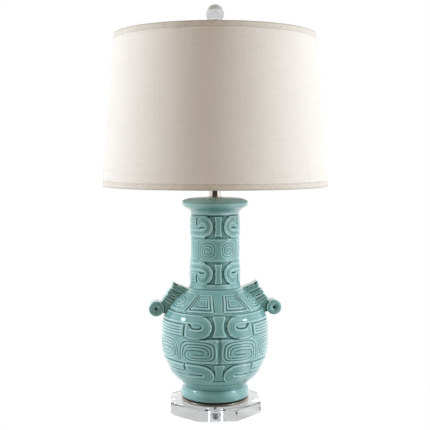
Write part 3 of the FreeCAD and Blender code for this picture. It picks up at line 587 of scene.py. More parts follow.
def layOut():
    # rows along the outline and columns over a quarter turn; s is the way along the outline
    dense = np.vstack([jar["foot"][:-1], throughKnots(jar["side"], 24)])
    s = np.concatenate([[0], np.cumsum(np.linalg.norm(np.diff(dense, axis=0), axis=1))])
    rows, here = [0.0], 0.0
    while here < s[-1]:
        z = np.interp(here, s, dense[:, 1])
        r = np.interp(here, s, dense[:, 0])
        plain = z < jar["plainBelow"] or z > jar["plainAbove"] or r < jar["plainWithin"]
        here += jar["plainStep"] if plain else jar["rowStep"]
        rows.append(min(here, s[-1]))
    rows = np.array(rows if rows[-1] > rows[-2] + jar["shortestRow"] else rows[:-2] + rows[-1:])
    r, z = np.interp(rows, s, dense[:, 0]), np.interp(rows, s, dense[:, 1])
    slope = np.gradient(np.column_stack([r, z]), rows, axis=0)
    slope /= np.linalg.norm(slope, axis=1)[:, None]
    rising = np.flatnonzero(dense[:, 1] > jar["side"][0][1] - 0.1)[0]
    climb = np.maximum.accumulate(dense[rising:, 1]) + np.arange(len(dense) - rising) * 1e-7
    return {"s": rows, "r": r, "z": z, "normal": np.column_stack([slope[:, 1], -slope[:, 0]]),
            "phi": np.linspace(0, 90, jar["quarterColumns"] + 1),
            "sAt": lambda level: np.interp(level, climb, s[rising:]),
            "rAt": lambda way: np.interp(way, s, dense[:, 0])}


def nearness(grid, path, reach):
    # distance in mm from each grid point to a path of (degrees, level) points, up to reach
    away = np.full((len(grid["s"]), len(grid["phi"])), float(reach))
    for (phi0, z0), (phi1, z1) in zip(path, path[1:]):
        s0, s1 = grid["sAt"](z0), grid["sAt"](z1)
        scale = grid["rAt"]((s0 + s1) / 2) * math.pi / 180
        rows = slice(*np.searchsorted(grid["s"], [min(s0, s1) - reach, max(s0, s1) + reach]))
        margin = reach / scale
        columns = slice(*np.searchsorted(grid["phi"], [min(phi0, phi1) - margin, max(phi0, phi1) + margin]))
        x, y = (grid["phi"][columns] - phi0)[None, :] * scale, (grid["s"][rows] - s0)[:, None]
        dx, dy = (phi1 - phi0) * scale, s1 - s0
        t = np.clip((x * dx + y * dy) / max(dx * dx + dy * dy, 1e-9), 0, 1)
        away[rows, columns] = np.minimum(away[rows, columns], np.hypot(x - t * dx, y - t * dy))
    return away


def inside(grid, path):
    # whether each grid point lies within a closed path, by counting crossings
    phi, s = grid["phi"][None, :], grid["s"][:, None]
    within = np.zeros((len(grid["s"]), len(grid["phi"])), bool)
    corners = [(p, grid["sAt"](z)) for p, z in path]
    for (p0, s0), (p1, s1) in zip(corners, corners[1:] + corners[:1]):
        if s0 == s1:
            continue
        within ^= ((s0 > s) != (s1 > s)) & (phi < (p1 - p0) * (s - s0) / (s1 - s0) + p0)
    return within


def crest(away, half):
    return 0.5 + 0.5 * np.cos(math.pi * np.clip(away / half, 0, 1))


class Relief:
    # plates are levels of whole areas; strokes are laid over them: ridges and grooves bend
    # through their points, bars and cuts run straight from one to the next
    def __init__(self, grid):
        self.grid = grid
        shape = (len(grid["s"]), len(grid["phi"]))
        self.plate, self.up, self.down = np.zeros(shape), np.zeros(shape), np.zeros(shape)

    def bar(self, path, height=carving["ridge"], half=carving["ridgeHalf"]):
        self.up = np.maximum(self.up, height * crest(nearness(self.grid, path, half), half))

    def ridge(self, path, *sizes):
        self.bar(throughKnots(path, carving["strokeSteps"]), *sizes)

    def line(self, path):
        self.ridge(path, carving["line"], carving["lineHalf"])

    def cut(self, path, depth=carving["groove"], half=carving["grooveHalf"]):
        self.down = np.maximum(self.down, depth * crest(nearness(self.grid, path, half), half))

    def groove(self, path, *sizes):
        self.cut(throughKnots(path, carving["strokeSteps"]), *sizes)

    def area(self, path, level, edge=carving["edge"]):
        path = [*path, path[0]]
        away = nearness(self.grid, path, edge)
        away = np.where(inside(self.grid, path[:-1]), away, -away)
        share = np.clip(away / edge * 0.5 + 0.5, 0, 1)
        share = share * share * (3 - 2 * share)
        self.plate += (level - self.plate) * share

    def height(self):
        return self.plate + self.up - self.down


def blurred(grid, field, amount):
    # a soft average over amount mm; the columns mirror at both ends, as the quarter does round the jar
    finest = 0.3
    across = np.maximum(grid["r"] * math.radians(grid["phi"][1]), finest)[:, None]
    along = np.maximum(np.gradient(grid["s"]), finest)[:, None]
    loops = math.ceil(2 * (amount / finest) ** 2)
    for _ in range(loops):
        for axis, step, edge in ((1, across, "reflect"), (0, along, "edge")):
            pad = [(0, 0), (1, 1)] if axis else [(1, 1), (0, 0)]
            wide = np.pad(field, pad, mode=edge)
            sides = wide[:, :-2] + wide[:, 2:] if axis else wide[:-2] + wide[2:]
            field = field + amount ** 2 / (2 * loops * step ** 2) * (sides - 2 * field)
    return field


def boxSpiral(centre, half, turns, gap, start=0.0, squareness=3.2, count=28):
    # a rounded rectangular spiral winding inwards; centre and half sizes in (degrees, level)
    points = []
    for k in range(int(turns * count) + 1):
        t = start + 2 * math.pi * k / count
        shrink = k / count
        a, b = half[0] - gap[0] * shrink, half[1] - gap[1] * shrink
        c, q = math.cos(t), math.sin(t)
        size = (abs(c) ** squareness + abs(q) ** squareness) ** (-1 / squareness)
        points.append((centre[0] + a * c * size, centre[1] + b * q * size))
    return points


def panelSpiral(corners, gap, turns):
    # a straight-sided spiral inside a four-cornered panel: low inner, low outer, high outer, high inner
    (a, b, c, d), (x0, y0, x1, y1), path = [np.array(p, float) for p in corners], (0, 0, 1, 1), []
    at = lambda u, v: tuple((1 - v) * ((1 - u) * a + u * b) + v * ((1 - u) * d + u * c))
    for k in range(turns * 4):
        u, v = ((x1, y1), (x0, y1), (x0, y0), (x1, y0))[k % 4]
        path.append(at(u, v))
        if k % 4 == 0:
            x1 -= gap[0]
        elif k % 4 == 1:
            y1 -= gap[1]
        elif k % 4 == 2:
            x0 += gap[0]
        else:
            y0 += gap[1]
    return path


# The carved bands; points are (degrees from the pattern's axis, level in mm)
def carveUpperBand(relief):
    # mask band under the shoulder: an axe shape on the axis, a C-scroll with its slot, then bars
    hook = [(90, 189.4), (60, 189.4), (30, 189.4), (20, 188.9), (14.5, 186.6), (10.6, 181.5),
            (8.6, 174), (8.9, 166), (11.2, 158.5), (15.5, 153.6), (21, 151.8), (30, 151.8),
            (33.8, 153.8), (35.2, 158), (35.2, 167), (34.9, 176.4)]
    ground = [(-8, 190.4), (14, 190.4)] + hook[3:11] + [(18, 150.4), (-8, 150.4)]
    relief.area(ground, -carving["ground"], edge=1.6)
    axe = [(6.3, 189.4), (6.5, 186.6), (4.6, 180), (3.9, 172), (4.6, 164), (6.2, 157.6), (6.2, 155.4)]
    relief.area([(-p, z) for p, z in axe[::-1]] + axe, -0.5)
    relief.bar([(-6.3, 189.2), (6.3, 189.2)])
    relief.ridge([(6.3, 189.2), (6.7, 187), (4.8, 180), (4.0, 172), (4.8, 164), (6.4, 158), (6.4, 155.2)])
    relief.bar([(-6.4, 155.2), (6.4, 155.2)])
    relief.ridge(hook)
    relief.ridge([(90, 177.6), (60, 177.6), (30, 177.6), (21.5, 177.2), (17.6, 174.8), (16.4, 171.2),
                  (17.8, 167.4), (21.5, 165.4), (27, 165.2), (31.5, 166.4)])
    relief.groove([(18.8, 171), (20, 169), (23, 168.4), (28, 168.6), (30.6, 170.6), (32.4, 174.8)], 2.0, 1.9)
    relief.cut([(30.8, 172.4), (32.6, 174.6)], 2.2, 2.6)
    relief.cut([(37.2, 174.4), (60, 174.4), (90, 174.4)], 1.3, 1.5)
    relief.cut([(38.4, 171.6), (38.6, 154.6)], 1.9, 2.1)
    relief.bar([(41.4, 171.0), (41.4, 156.6)])
    for level in (171.0, 166.2, 161.4, 156.6):
        relief.bar([(41.4, level), (90, level)], 0.7, 1.35)
    for level in (168.6, 163.8, 159.0):
        relief.cut([(43.6, level), (90, level)], 0.5, 1.2)
    relief.groove([(14, 149.4), (33, 149.4), (38.6, 152.4), (45, 153.6), (90, 153.4)], 0.8, 1.6)


def carveLowerBand(relief):
    # the same idea turned over, open towards the foot
    hook = [(90, 101.6), (50, 102.0), (42, 101.4), (30, 101.6), (21, 101.4), (14.6, 99.0), (9.8, 93.6),
            (7.0, 87.0), (6.4, 80.5), (8.0, 75.4), (10.6, 72.0)]
    ground = [(-8, 106.6), (15, 106.6)] + [(22, 104.4), (14, 102), (8.6, 95.6), (5.6, 87.4), (5.0, 80),
                                          (6.4, 74.4), (8.4, 71.4)] + [(-8, 71.4)]
    relief.area(ground, -1.5, edge=1.6)
    axe = [(4.8, 103.6), (5.0, 100.0), (3.7, 93.6), (3.4, 86.0), (4.2, 79.0), (5.0, 73.6)]
    relief.area([(-p, z) for p, z in axe[::-1]] + axe, -0.5)
    relief.bar([(-4.9, 103.6), (4.9, 103.6)])
    relief.ridge([(4.9, 103.6), (5.2, 100.2), (3.8, 93.6), (3.5, 86), (4.4, 79), (5.4, 72.6)])
    relief.ridge(hook)
    relief.groove([(90, 105.4), (50, 105.4), (38, 105.2), (24, 105.0), (15, 102.6), (8.6, 96.6)], 1.6, 1.5)
    relief.ridge([(36.4, 101.0), (35.4, 96.4), (33.2, 92.6), (28.0, 88.4), (22, 87.8), (18.2, 86.4),
                  (17.4, 83.6), (19.6, 80.6), (26, 79.8), (40, 79.4), (60, 79.4), (90, 79.4)])
    relief.cut([(35, 83.8), (27, 83.8), (19.6, 84.2)], 1.9, 1.8)
    relief.cut([(19.8, 84.4), (20.6, 84.4)], 2.2, 2.3)
    relief.cut([(39.4, 103.4), (40.2, 92.4)], 1.9, 2.0)
    for level in (99.4, 94.6):
        relief.bar([(42.8, level), (90, level)], 0.7, 1.35)
    relief.bar([(42.8, 101.8), (43.2, 94.6)])
    relief.cut([(43, 90.4), (90, 90.4)], 1.3, 1.6)
    relief.cut([(40, 84.0), (90, 84.0)], 0.9, 1.4)
    relief.line([(12.4, 72.0), (20, 74.6), (34, 75.4), (90, 75.4)])


def carveMiddleBand(relief):
    # close-set lines: a rounded square spiral with a second line beside it, turned about at 45 degrees
    outer = [(45.0, 111), (44.8, 126), (43.0, 139.4), (38.5, 147.2), (25, 148.5), (12, 147), (5, 143),
             (3.5, 135), (3.5, 118), (7, 111.9), (15, 110.6), (30, 110.6), (36, 112.4), (38.3, 116.6),
             (38.4, 126), (35.4, 132), (30, 133.4), (20, 133.6), (15, 131.4), (13, 126), (14, 121),
             (17.5, 119), (27, 119), (30.6, 121), (30.2, 124.8), (25, 126.2), (18.6, 126.4)]
    second = [(41.8, 111), (41.6, 124), (39.6, 136), (35, 142.2), (24, 143.4), (12.5, 142), (8, 137),
              (7, 128), (7, 120.4), (9.6, 116), (15, 114.8), (30, 114.8), (34.6, 117), (34.8, 123.4)]
    third = [(36.0, 135.8), (31, 138), (22, 138.6), (14.5, 137.2), (10.8, 132.6), (9.9, 126),
             (10.6, 120.4), (13.0, 117.4)]
    hollows = [[(43.4, 111), (43.2, 125), (41.2, 138), (36.6, 144.9), (24.5, 146), (12.2, 144.6), (6.4, 140),
                (5.2, 132), (5.2, 119), (8.2, 113.9), (15, 112.7), (31, 112.7), (36.6, 116.4), (36.6, 125),
                (34.4, 129), (30, 130.2), (20, 130.4), (16.4, 128)],
               [(40.0, 118), (39.4, 130), (36.4, 138.2), (31, 140.7), (22, 141.1), (13.5, 139.8),
                (9.3, 134.8), (8.4, 127), (8.7, 120.8), (11.2, 117), (15.6, 116.8), (30, 117)],
               [(34, 134.8), (30, 136), (20, 136.2), (14, 134.2), (11.5, 129), (11.4, 123.4)],
               [(17.4, 122.8), (27, 122.8)]]
    for mirror in (False, True):
        way = lambda path: [(90 - p if mirror else p, z) for p, z in path]
        for path in (outer, second, third):
            relief.line(way(path))
        for path in hollows:
            relief.groove(way(path), 0.75, 1.35)
    relief.cut([(0, 150), (0, 108)], 1.3, 6.0)
    relief.cut([(0, 150), (0, 108)], 0.5, 1.2)
    relief.cut([(0, 106.8), (90, 106.8)], 0.8, 1.5)


def carveShoulder(relief):
    relief.cut([(0, 191.6), (90, 191.6)], 1.2, 1.3)
    panel = [(7.2, 195.6), (41.4, 195.6), (37.4, 206), (30.8, 220.6), (10.4, 220.6)]
    relief.bar(panel + panel[:1])
    relief.cut([(6.0, 193.6), (43.6, 193.6)], 1.0, 1.2)
    relief.cut([(5.2, 196), (8.4, 220)], 1.1, 1.6)
    nested = [(11.8, 201.0), (35.0, 201.0), (28.4, 216.8), (14.4, 216.8)]
    relief.bar(panelSpiral(nested, (0.19, 0.23), 2), 0.7, 1.2)
    relief.bar([nested[3], nested[0], nested[1]], 0.7, 1.25)
    relief.cut([(13.0, 218.8), (9.9, 198.4), (38.2, 198.4), (35.8, 204), (29.8, 218.6)], 1.0, 1.35)
    relief.cut([(15.4, 214.0), (14.3, 203.4), (31.0, 203.4), (27.2, 214)], 0.8, 1.2)
    relief.cut([(43.0, 196.4), (38.8, 206.6), (32.6, 220.6)], 1.3, 1.7)
    relief.bar([(46.6, 195.6), (88, 195.6)])
    relief.ridge([(46.6, 195.6), (42.8, 203), (40.6, 212), (41.2, 220.8), (47, 222.4), (86, 222.4)])
    # an eye: a round spiral, and a groove within its line
    (phi, level), half, within = (65.0, 208.2), (21.5, 11.8), 0.86
    eye = []
    for k in range(80):
        t, size = -2.4 + k * 0.22, 1.0 - k / 92
        eye.append((phi + half[0] * size * math.cos(t), level + half[1] * size * math.sin(t)))
    relief.bar(eye, 0.65, 1.2)
    relief.cut([(phi + (p - phi) * within, level + (z - level) * within) for p, z in eye[:60]], 0.6, 1.2)
    relief.cut([(65.2, 208.4), (65.8, 208.4)], 1.9, 2.2)


def carveNeckEye(relief, low, turnedOver):
    # one C-scroll with its eye on the neck; turned over, the tail runs along the top
    def at(points):
        return [(p, low + (40 - h if turnedOver else h)) for p, h in points]
    hook = at([(90, 3.6), (60, 3.4), (40, 3.0), (29, 3.4), (20.5, 6.6), (15.4, 12.4), (13.4, 20.0),
               (15.4, 28.0), (20.8, 34.4), (28, 37.8), (36, 38.6), (43, 36.8), (47.4, 32.4), (49.0, 26.6)])
    ground = hook[3:10] + at([(24, 39.8), (-9, 39.8), (-9, -1.2), (32, -1.2)])
    relief.area(ground, -1.7, edge=1.5)
    relief.ridge(hook)
    axe = [(7.2, 38.0), (6.6, 33), (5.4, 27), (6.6, 21), (5.4, 15), (6.6, 9), (7.4, 3.4)]
    edge = at(axe)
    relief.area([(-p, z) for p, z in edge[::-1]] + edge, -0.4)
    relief.ridge(edge, 0.75, 1.3)
    relief.bar([(-edge[0][0], edge[0][1]), edge[0]], 0.75, 1.3)
    relief.ridge(at([(90, 14.6), (60, 14.2), (44, 13.8), (34.0, 14.6), (28.6, 17.6), (27.8, 21.8),
                     (31.4, 25.6), (37.4, 26.8), (42.6, 24.4), (45.4, 20.6)]))
    relief.groove(at([(33.4, 18.4), (38.4, 19.4), (44, 18.0)]), 2.1, 1.8)
    relief.cut(at([(38.0, 19.4), (39.0, 19.2)]), 2.3, 2.2)
    relief.groove(at([(90, 9.0), (46, 8.8), (32, 9.6), (23.4, 14.4), (20.6, 20.4), (23.4, 27), (30, 31.8),
                      (38.0, 32.6)]), 0.55, 1.9)
    relief.cut(at([(52.6, 36.0), (52.4, 24.4)]), 1.6, 1.9)
    for h in (34.6, 29.8, 25.0, 20.2):
        relief.bar(at([(55.4, h), (90, h)]), 0.6, 1.25)
    relief.bar(at([(55.4, 34.6), (55.4, 20.2)]), 0.6, 1.25)


def carveNeckMiddle(relief):
    # a large upright spiral each side of the axis, then upright lines
    shape = {"gap": (5.8, 4.7), "start": -1.2, "squareness": 2.8}
    relief.bar(boxSpiral((24.5, 298.6), (22.6, 17.8), 3.3, **shape), 0.42, 1.3)
    relief.cut(boxSpiral((24.5, 298.6), (19.7, 15.4), 2.8, **shape), 0.42, 1.2)
    for phi in (51, 57, 63, 69, 75):
        relief.bar([(phi, 284), (phi, 315)], 0.35, 1.2)
    relief.cut([(48.4, 282), (48.4, 316)], 0.5, 1.3)
    for level in (315, 284):
        relief.bar([(51, level), (90, level)], 0.35, 1.2)


def carveJar(grid):
    relief = Relief(grid)
    carveLowerBand(relief)
    carveMiddleBand(relief)
    carveUpperBand(relief)
    carveShoulder(relief)
    carveNeckEye(relief, 237.6, True)
    carveNeckMiddle(relief)
    carveNeckEye(relief, 321.0, False)
    for level, depth in ((229.4, 1.0), (361.2, 0.9), (279.6, 0.7), (319.6, 0.6)):
        relief.cut([(0, level), (90, level)], depth, 1.5)
    return blurred(grid, relief.height(), carving["soften"])


def makeJar():
    grid = layOut()
    relief = carveJar(grid)
    near, wide = [gain * (blurred(grid, relief, reach) - relief) / carving[depth]
                  for (reach, gain), depth in ((jar["poolNear"], "ridge"), (jar["poolWide"], "ground"))]
    pool = 0.5 + np.clip(near + wide, -0.5, 0.5)
    # bands of glaze thickness and painted light laid round the jar
    for level, half, amount in jar["glazeAndLightBands"]:
        pool += amount * np.exp(-((grid["z"] - level) / half) ** 2)[:, None]
    quarter = jar["quarterColumns"]
    around = quarter * 4
    fold = np.arange(around) % (2 * quarter)
    fold = np.where(fold > quarter, 2 * quarter - fold, fold)
    relief, pool = relief[:, fold], pool[:, fold]
    share = np.clip((grid["z"] - jar["turnFrom"]) / (jar["turnTo"] - jar["turnFrom"]), 0, 1)
    turn = jar["bodyTurn"] + (jar["neckTurn"] - jar["bodyTurn"]) * share
    angle = np.radians(np.arange(around) * 360 / around + turn[:, None])
    r = grid["r"][:, None] + grid["normal"][:, :1] * relief
    z = grid["z"][:, None] + grid["normal"][:, 1:] * relief
    points = np.stack([r * np.sin(angle), -r * np.cos(angle), z], axis=-1).reshape(-1, 3)
    each = jar["insideEvery"]
    rows, coarse = len(grid["s"]), around // each
    columnOf = np.tile(np.arange(around) / around, rows)
    wayOf = np.repeat(grid["s"], around)

    # the cord's way out at the back of the foot: a square of the grid drawn into a round bore
    middle, half = round((180 - jar["bodyTurn"]) * around / 360), jar["outletHalf"]
    reach = round(jar["outletRadius"] / (jar["side"][0][0] * 2 * math.pi / around))
    low, high = np.searchsorted(grid["z"], [jar["outletLevel"] - half, jar["outletLevel"] + half])
    ring = [(low, middle + k) for k in range(-reach, reach)]
    ring += [(i, middle + reach) for i in range(low, high)]
    ring += [(high, middle - k) for k in range(-reach, reach)]
    ring += [(i, middle - reach) for i in range(high, low, -1)]
    rim = [int(i * around + k) for i, k in ring]
    for index in rim:
        x, level = points[index, 0], points[index, 2] - jar["outletLevel"]
        size = jar["outletRadius"] / math.hypot(x, level)
        x, level = x * size, jar["outletLevel"] + level * size
        points[index] = (x, math.sqrt(np.interp(level, grid["z"], grid["r"]) ** 2 - x * x), level)
    faces, starts = [], []
    for i in range(rows - 1):
        for k in range(around):
            if low <= i < high and middle - reach <= k < middle + reach:
                continue
            after = (k + 1) % around
            faces.append((i * around + k, i * around + after, (i + 1) * around + after,
                          (i + 1) * around + k))
            starts.append(k / around)

    # the plain inside and the foot's hollow, coarser, joined to the carved outside at both ends
    inner = np.array(jar["inside"])
    first = len(points)
    turnIn = np.radians(np.arange(coarse) * 360 / coarse)
    shells = []
    for r, z in inner:
        angle = turnIn + math.radians(jar["neckTurn" if z > jar["turnChange"] else "bodyTurn"])
        shells.append(np.column_stack([r * np.sin(angle), -r * np.cos(angle), np.full(coarse, z)]))
    points = np.vstack([points] + shells)
    columnOf = np.concatenate([columnOf, np.tile(np.arange(coarse) / coarse, len(inner))])
    steps = np.linalg.norm(np.diff(np.vstack([jar["side"][-1], inner, jar["foot"][0]]), axis=0), axis=1)
    ways = grid["s"][-1] + np.cumsum(steps)
    wayOf = np.concatenate([wayOf, np.repeat(ways[:-1], coarse)])
    for k in range(coarse):
        after = (k + 1) % coarse
        foot = [(k * each + j) % around for j in range(each + 1)]
        top = [(rows - 1) * around + j for j in foot]
        last = first + (len(inner) - 1) * coarse
        faces += [tuple(top + [first + after, first + k]), tuple(foot[::-1] + [last + k, last + after])]
        starts += [k / coarse] * 2
        for i in range(len(inner) - 1):
            here = first + i * coarse
            faces.append((here + k, here + after, here + coarse + after, here + coarse + k))
            starts.append(k / coarse)
    back = len(points)
    deep = points[rim].copy()
    deep[:, 1] = points[rim, 1].max() - jar["outletDepth"]
    points = np.vstack([points, deep])
    count = len(rim)
    columnOf = np.concatenate([columnOf, columnOf[rim]])
    ends = ways[-1] * 1.01, ways[-1] * 1.02  # the outlet's blind end, and past it the unwrap's edge
    wayOf = np.concatenate([wayOf, np.full(count, ends[0])])
    for k in range(count):
        after = (k + 1) % count
        faces.append((rim[k], rim[after], back + after, back + k))
    faces.append(tuple(back + k for k in range(count)))
    starts += [0] * (count + 1)

    mesh = bpy.data.meshes.new("carvedJar")
    mesh.from_pydata((points * mm).tolist(), [], faces)
    vertexOf = np.empty(len(mesh.loops), int)
    mesh.loops.foreach_get("vertex_index", vertexOf)
    start = np.repeat(starts, [len(face) for face in faces])
    across = columnOf[vertexOf]
    across = np.where(across < start - 1e-6, across + 1, across)
    spreadOut = np.column_stack([across, np.minimum(wayOf[vertexOf] / ends[1], 1)])
    mesh.uv_layers.new(name="OFBake").data.foreach_set("uv", spreadOut.ravel())
    level = np.full(len(points), 0.5)
    level[:first] = pool.ravel()
    mesh.attributes.new("glazePool", "FLOAT", "POINT").data.foreach_set("value", level)
    piece = finishPiece("carvedJar", mesh, "base", "celadon_glaze", 60)
    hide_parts("jar_body")


makeJar()
print("jar carved")


# Scroll handles: a ribbed strap on the shoulder that ends in a bored scroll.
# Built lying along +X in (x, z), then turned into place; the left one is the same casting.
handle = {
    "outline": [(46.0, 223.6), (52.2, 227.8), (60.0, 231.6), (68.6, 234.6), (76.8, 239.6), (79.6, 235.0),
                (80.7, 229.6), (80.2, 227.6), (83.6, 226.6), (88.9, 220.6), (89.9, 216.6),
                (89.6, 214.6), (92.6, 213.2), (97.0, 208.4), (99.4, 202.6), (103.0, 197.0),
                (99.0, 184.0), (86.5, 180.0), (80.6, 189.5), (74.0, 198.4), (66.0, 206.4), (56.0, 213.6)],
    # across the strap: the shoulder end, the free end, half the width there
    "stations": [((46.0, 224.6), (76.5, 240.4), 13.0), ((47.6, 221.6), (79.0, 236.4), 14.3),
                 ((52.2, 217.4), (80.4, 230.0), 15.0), ((54.4, 216.0), (80.4, 228.2), 15.3),
                 ((56.6, 215.2), (80.6, 226.0), 12.3), ((59.0, 214.2), (83.6, 225.4), 13.9),
                 ((63.0, 211.8), (88.4, 221.6), 14.2), ((68.8, 208.0), (89.8, 216.8), 13.6),
                 ((72.2, 204.6), (90.2, 214.4), 11.7), ((74.0, 202.6), (92.8, 213.0), 13.0),
                 ((78.2, 197.2), (96.8, 208.6), 13.2), ((80.4, 192.8), (98.8, 204.4), 12.0),
                 ((82.0, 188.0), (101.0, 199.0), 12.2), ((84.0, 178.0), (106.0, 186.0), 11.6)],
    "freeCorners": 15,  # how many of the outline's corners are clear of the jar; those are rounded
    "edgeRound": 3.4, "edgeShare": 0.8, "edgePower": 2.4, "extrudeHalf": 15.0, "layers": 9, "turn": 5.0,
    "scrollAxis": (107.8, 190.5), "scrollReach": 14.4, "scrollColumns": 96,
    # the scroll's end, (radius, distance from its middle): rounded rim, a crater and a deep bore
    "scroll": [(13.8, 0.0), (13.8, 11.6), (13.4, 13.2), (12.3, 14.4), (10.6, 15.0), (8.2, 15.3),
               (6.9, 15.2), (5.9, 14.6), (4.0, 13.4), (2.6, 12.6), (2.3, 11.6), (2.2, 4.0), (0.0, 3.4)],
    "voxel": 0.62, "poolPasses": 9, "poolEase": 0.6, "poolGain": 1.3,
    # cuts in the two flat sides: path, half width, depth; they fade in over this part of the width
    "cutFrom": 0.7, "cutOver": 0.25,
    "cuts": [([(71.0, 233.6), (74.0, 236.0)], 2.5, 3.0),
             ([(56.0, 226.6), (58.6, 228.0)], 1.8, 1.4),
             ([(73.6, 212.0), (80.6, 215.2)], 1.5, 2.8),
             ([(70.0, 219.0), (77.0, 221.6)], 1.3, 1.0),
             ([(80.6, 220.6), (85.6, 220.2)], 1.4, 1.0),
             ([(81.0, 201.8), (92.4, 209.8)], 1.3, 1.3),
             ([(84.0, 197.4), (95.2, 205.6)], 1.2, 1.1)],
}


def pathAway(points, path):
    # distance from flat points to an open path
    away = np.full(len(points), 1e9)
    for start, end in zip(path, path[1:]):
        start, way = np.array(start, float), np.array(end, float) - np.array(start, float)
        t = np.clip((points - start) @ way / max(way @ way, 1e-9), 0, 1)
        away = np.minimum(away, np.linalg.norm(points - start - t[:, None] * way, axis=1))
    return away


def pointsOf(mesh):
    flat = np.empty(len(mesh.vertices) * 3)
    mesh.vertices.foreach_get("co", flat)
    return flat.reshape(-1, 3) / mm


def poolOf(mesh):
    # how hollow the surface is at each vertex: where its smoothed neighbourhood lies outside it
    points = pointsOf(mesh)
    edges = np.empty(len(mesh.edges) * 2, int)
    mesh.edges.foreach_get("vertices", edges)
    edges = edges.reshape(-1, 2)
    normals = np.empty(len(mesh.vertices) * 3)
    mesh.vertices.foreach_get("normal", normals)
    count = np.bincount(edges.ravel(), minlength=len(points))[:, None]
    soft, ease = points.copy(), handle["poolEase"]
    for _ in range(handle["poolPasses"]):
        total = np.zeros_like(soft)
        np.add.at(total, edges[:, 0], soft[edges[:, 1]])
        np.add.at(total, edges[:, 1], soft[edges[:, 0]])
        soft = (1 - ease) * soft + ease * total / np.maximum(count, 1)
    hollow = np.einsum("ij,ij->i", soft - points, normals.reshape(-1, 3))
    return 0.5 + np.clip(handle["poolGain"] * hollow, -0.5, 0.5)


def strapMesh():
    half, outline, layers = handle["extrudeHalf"], handle["outline"], handle["layers"]
    points, faces, count = [], [], len(outline)
    for k in range(layers):
        points += [(x, -half + 2 * half * k / (layers - 1), z) for x, z in outline]
    for k in range(layers - 1):
        for i in range(count):
            after = (i + 1) % count
            faces.append((k * count + i, k * count + after, (k + 1) * count + after, (k + 1) * count + i))
    faces.append(tuple(range(count))[::-1])
    faces.append(tuple((layers - 1) * count + i for i in range(count)))
    axis, profile, first = handle["scrollAxis"], handle["scroll"], len(points)
    whole = [(r, -h) for r, h in profile[::-1]] + profile[1:]
    turned, sides = latheMesh(whole, handle["scrollColumns"])
    points += [(x + axis[0], z, y + axis[1]) for x, y, z in turned]
    faces += [tuple(first + i for i in face)[::-1] for face in sides]
    return points, faces


def shapedHandle():
    points, faces = strapMesh()
    mesh = bpy.data.meshes.new("handleBlank")
    mesh.from_pydata((np.array(points) * mm).tolist(), [], faces)
    build = bmesh.new()
    build.from_mesh(mesh)
    bmesh.ops.recalc_face_normals(build, faces=build.faces)
    build.to_mesh(mesh)
    build.free()
    shaped = settled(mesh, ("REMESH", {"mode": "VOXEL", "voxel_size": handle["voxel"] * mm}),
                     ("SMOOTH", {"factor": 0.5, "iterations": 3}))
    points = pointsOf(shaped)
    flat = points[:, [0, 2]]
    # which station each point lies at, from its distance to the lines across the strap
    lines = [(np.array(a), np.array(b)) for a, b, _ in handle["stations"]]
    side = []
    for inner, outer in lines:
        way = (outer - inner) / np.linalg.norm(outer - inner)
        side.append((flat[:, 0] - inner[0]) * way[1] - (flat[:, 1] - inner[1]) * way[0])
    side = np.array(side)
    place = np.zeros(len(points))
    for k in range(len(lines) - 1):
        between = (side[k] >= 0) & (side[k + 1] < 0)
        place = np.where(between, k + side[k] / (side[k] - side[k + 1] + 1e-9), place)
    place = np.where(side[-1] >= 0, len(lines) - 1, place)
    wide = np.interp(place, np.arange(len(lines)), [w for _, _, w in handle["stations"]])
    near = pathAway(flat, handle["outline"][:handle["freeCorners"]]) / handle["edgeRound"]
    near = np.clip(1 - near, 0, 1) ** handle["edgePower"]
    wide = wide - handle["edgeRound"] * handle["edgeShare"] * near
    onScroll = np.linalg.norm(flat - np.array(handle["scrollAxis"]), axis=1) < handle["scrollReach"]
    points[:, 1] *= np.where(onScroll, 1.0, wide / handle["extrudeHalf"])
    face = np.clip(np.abs(points[:, 1]) / (wide + 1e-9), 0, 1)
    for path, half, depth in handle["cuts"]:
        fade = np.clip((face - handle["cutFrom"]) / handle["cutOver"], 0, 1)
        cut = depth * crest(pathAway(flat, path), half) * fade
        points[:, 1] -= np.sign(points[:, 1]) * np.where(onScroll, 0, cut)
    shaped.vertices.foreach_set("co", (points * mm).ravel())
    return settled(shaped, ("SMOOTH", {"factor": 0.45, "iterations": 2}))


def makeHandles():
    casting = shapedHandle()
    casting.attributes.new("glazePool", "FLOAT", "POINT").data.foreach_set("value", poolOf(casting))
    for name, node, turn in (("handleRight", "handle_right", 0), ("handleLeft", "handle_left", 180)):
        mesh = casting.copy()
        mesh.transform(Matrix.Rotation(math.radians(handle["turn"] + turn), 4, "Z"))
        piece = finishPiece(name, mesh, "base", "celadon_glaze")
        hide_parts(node)


makeHandles()
print("handles set")


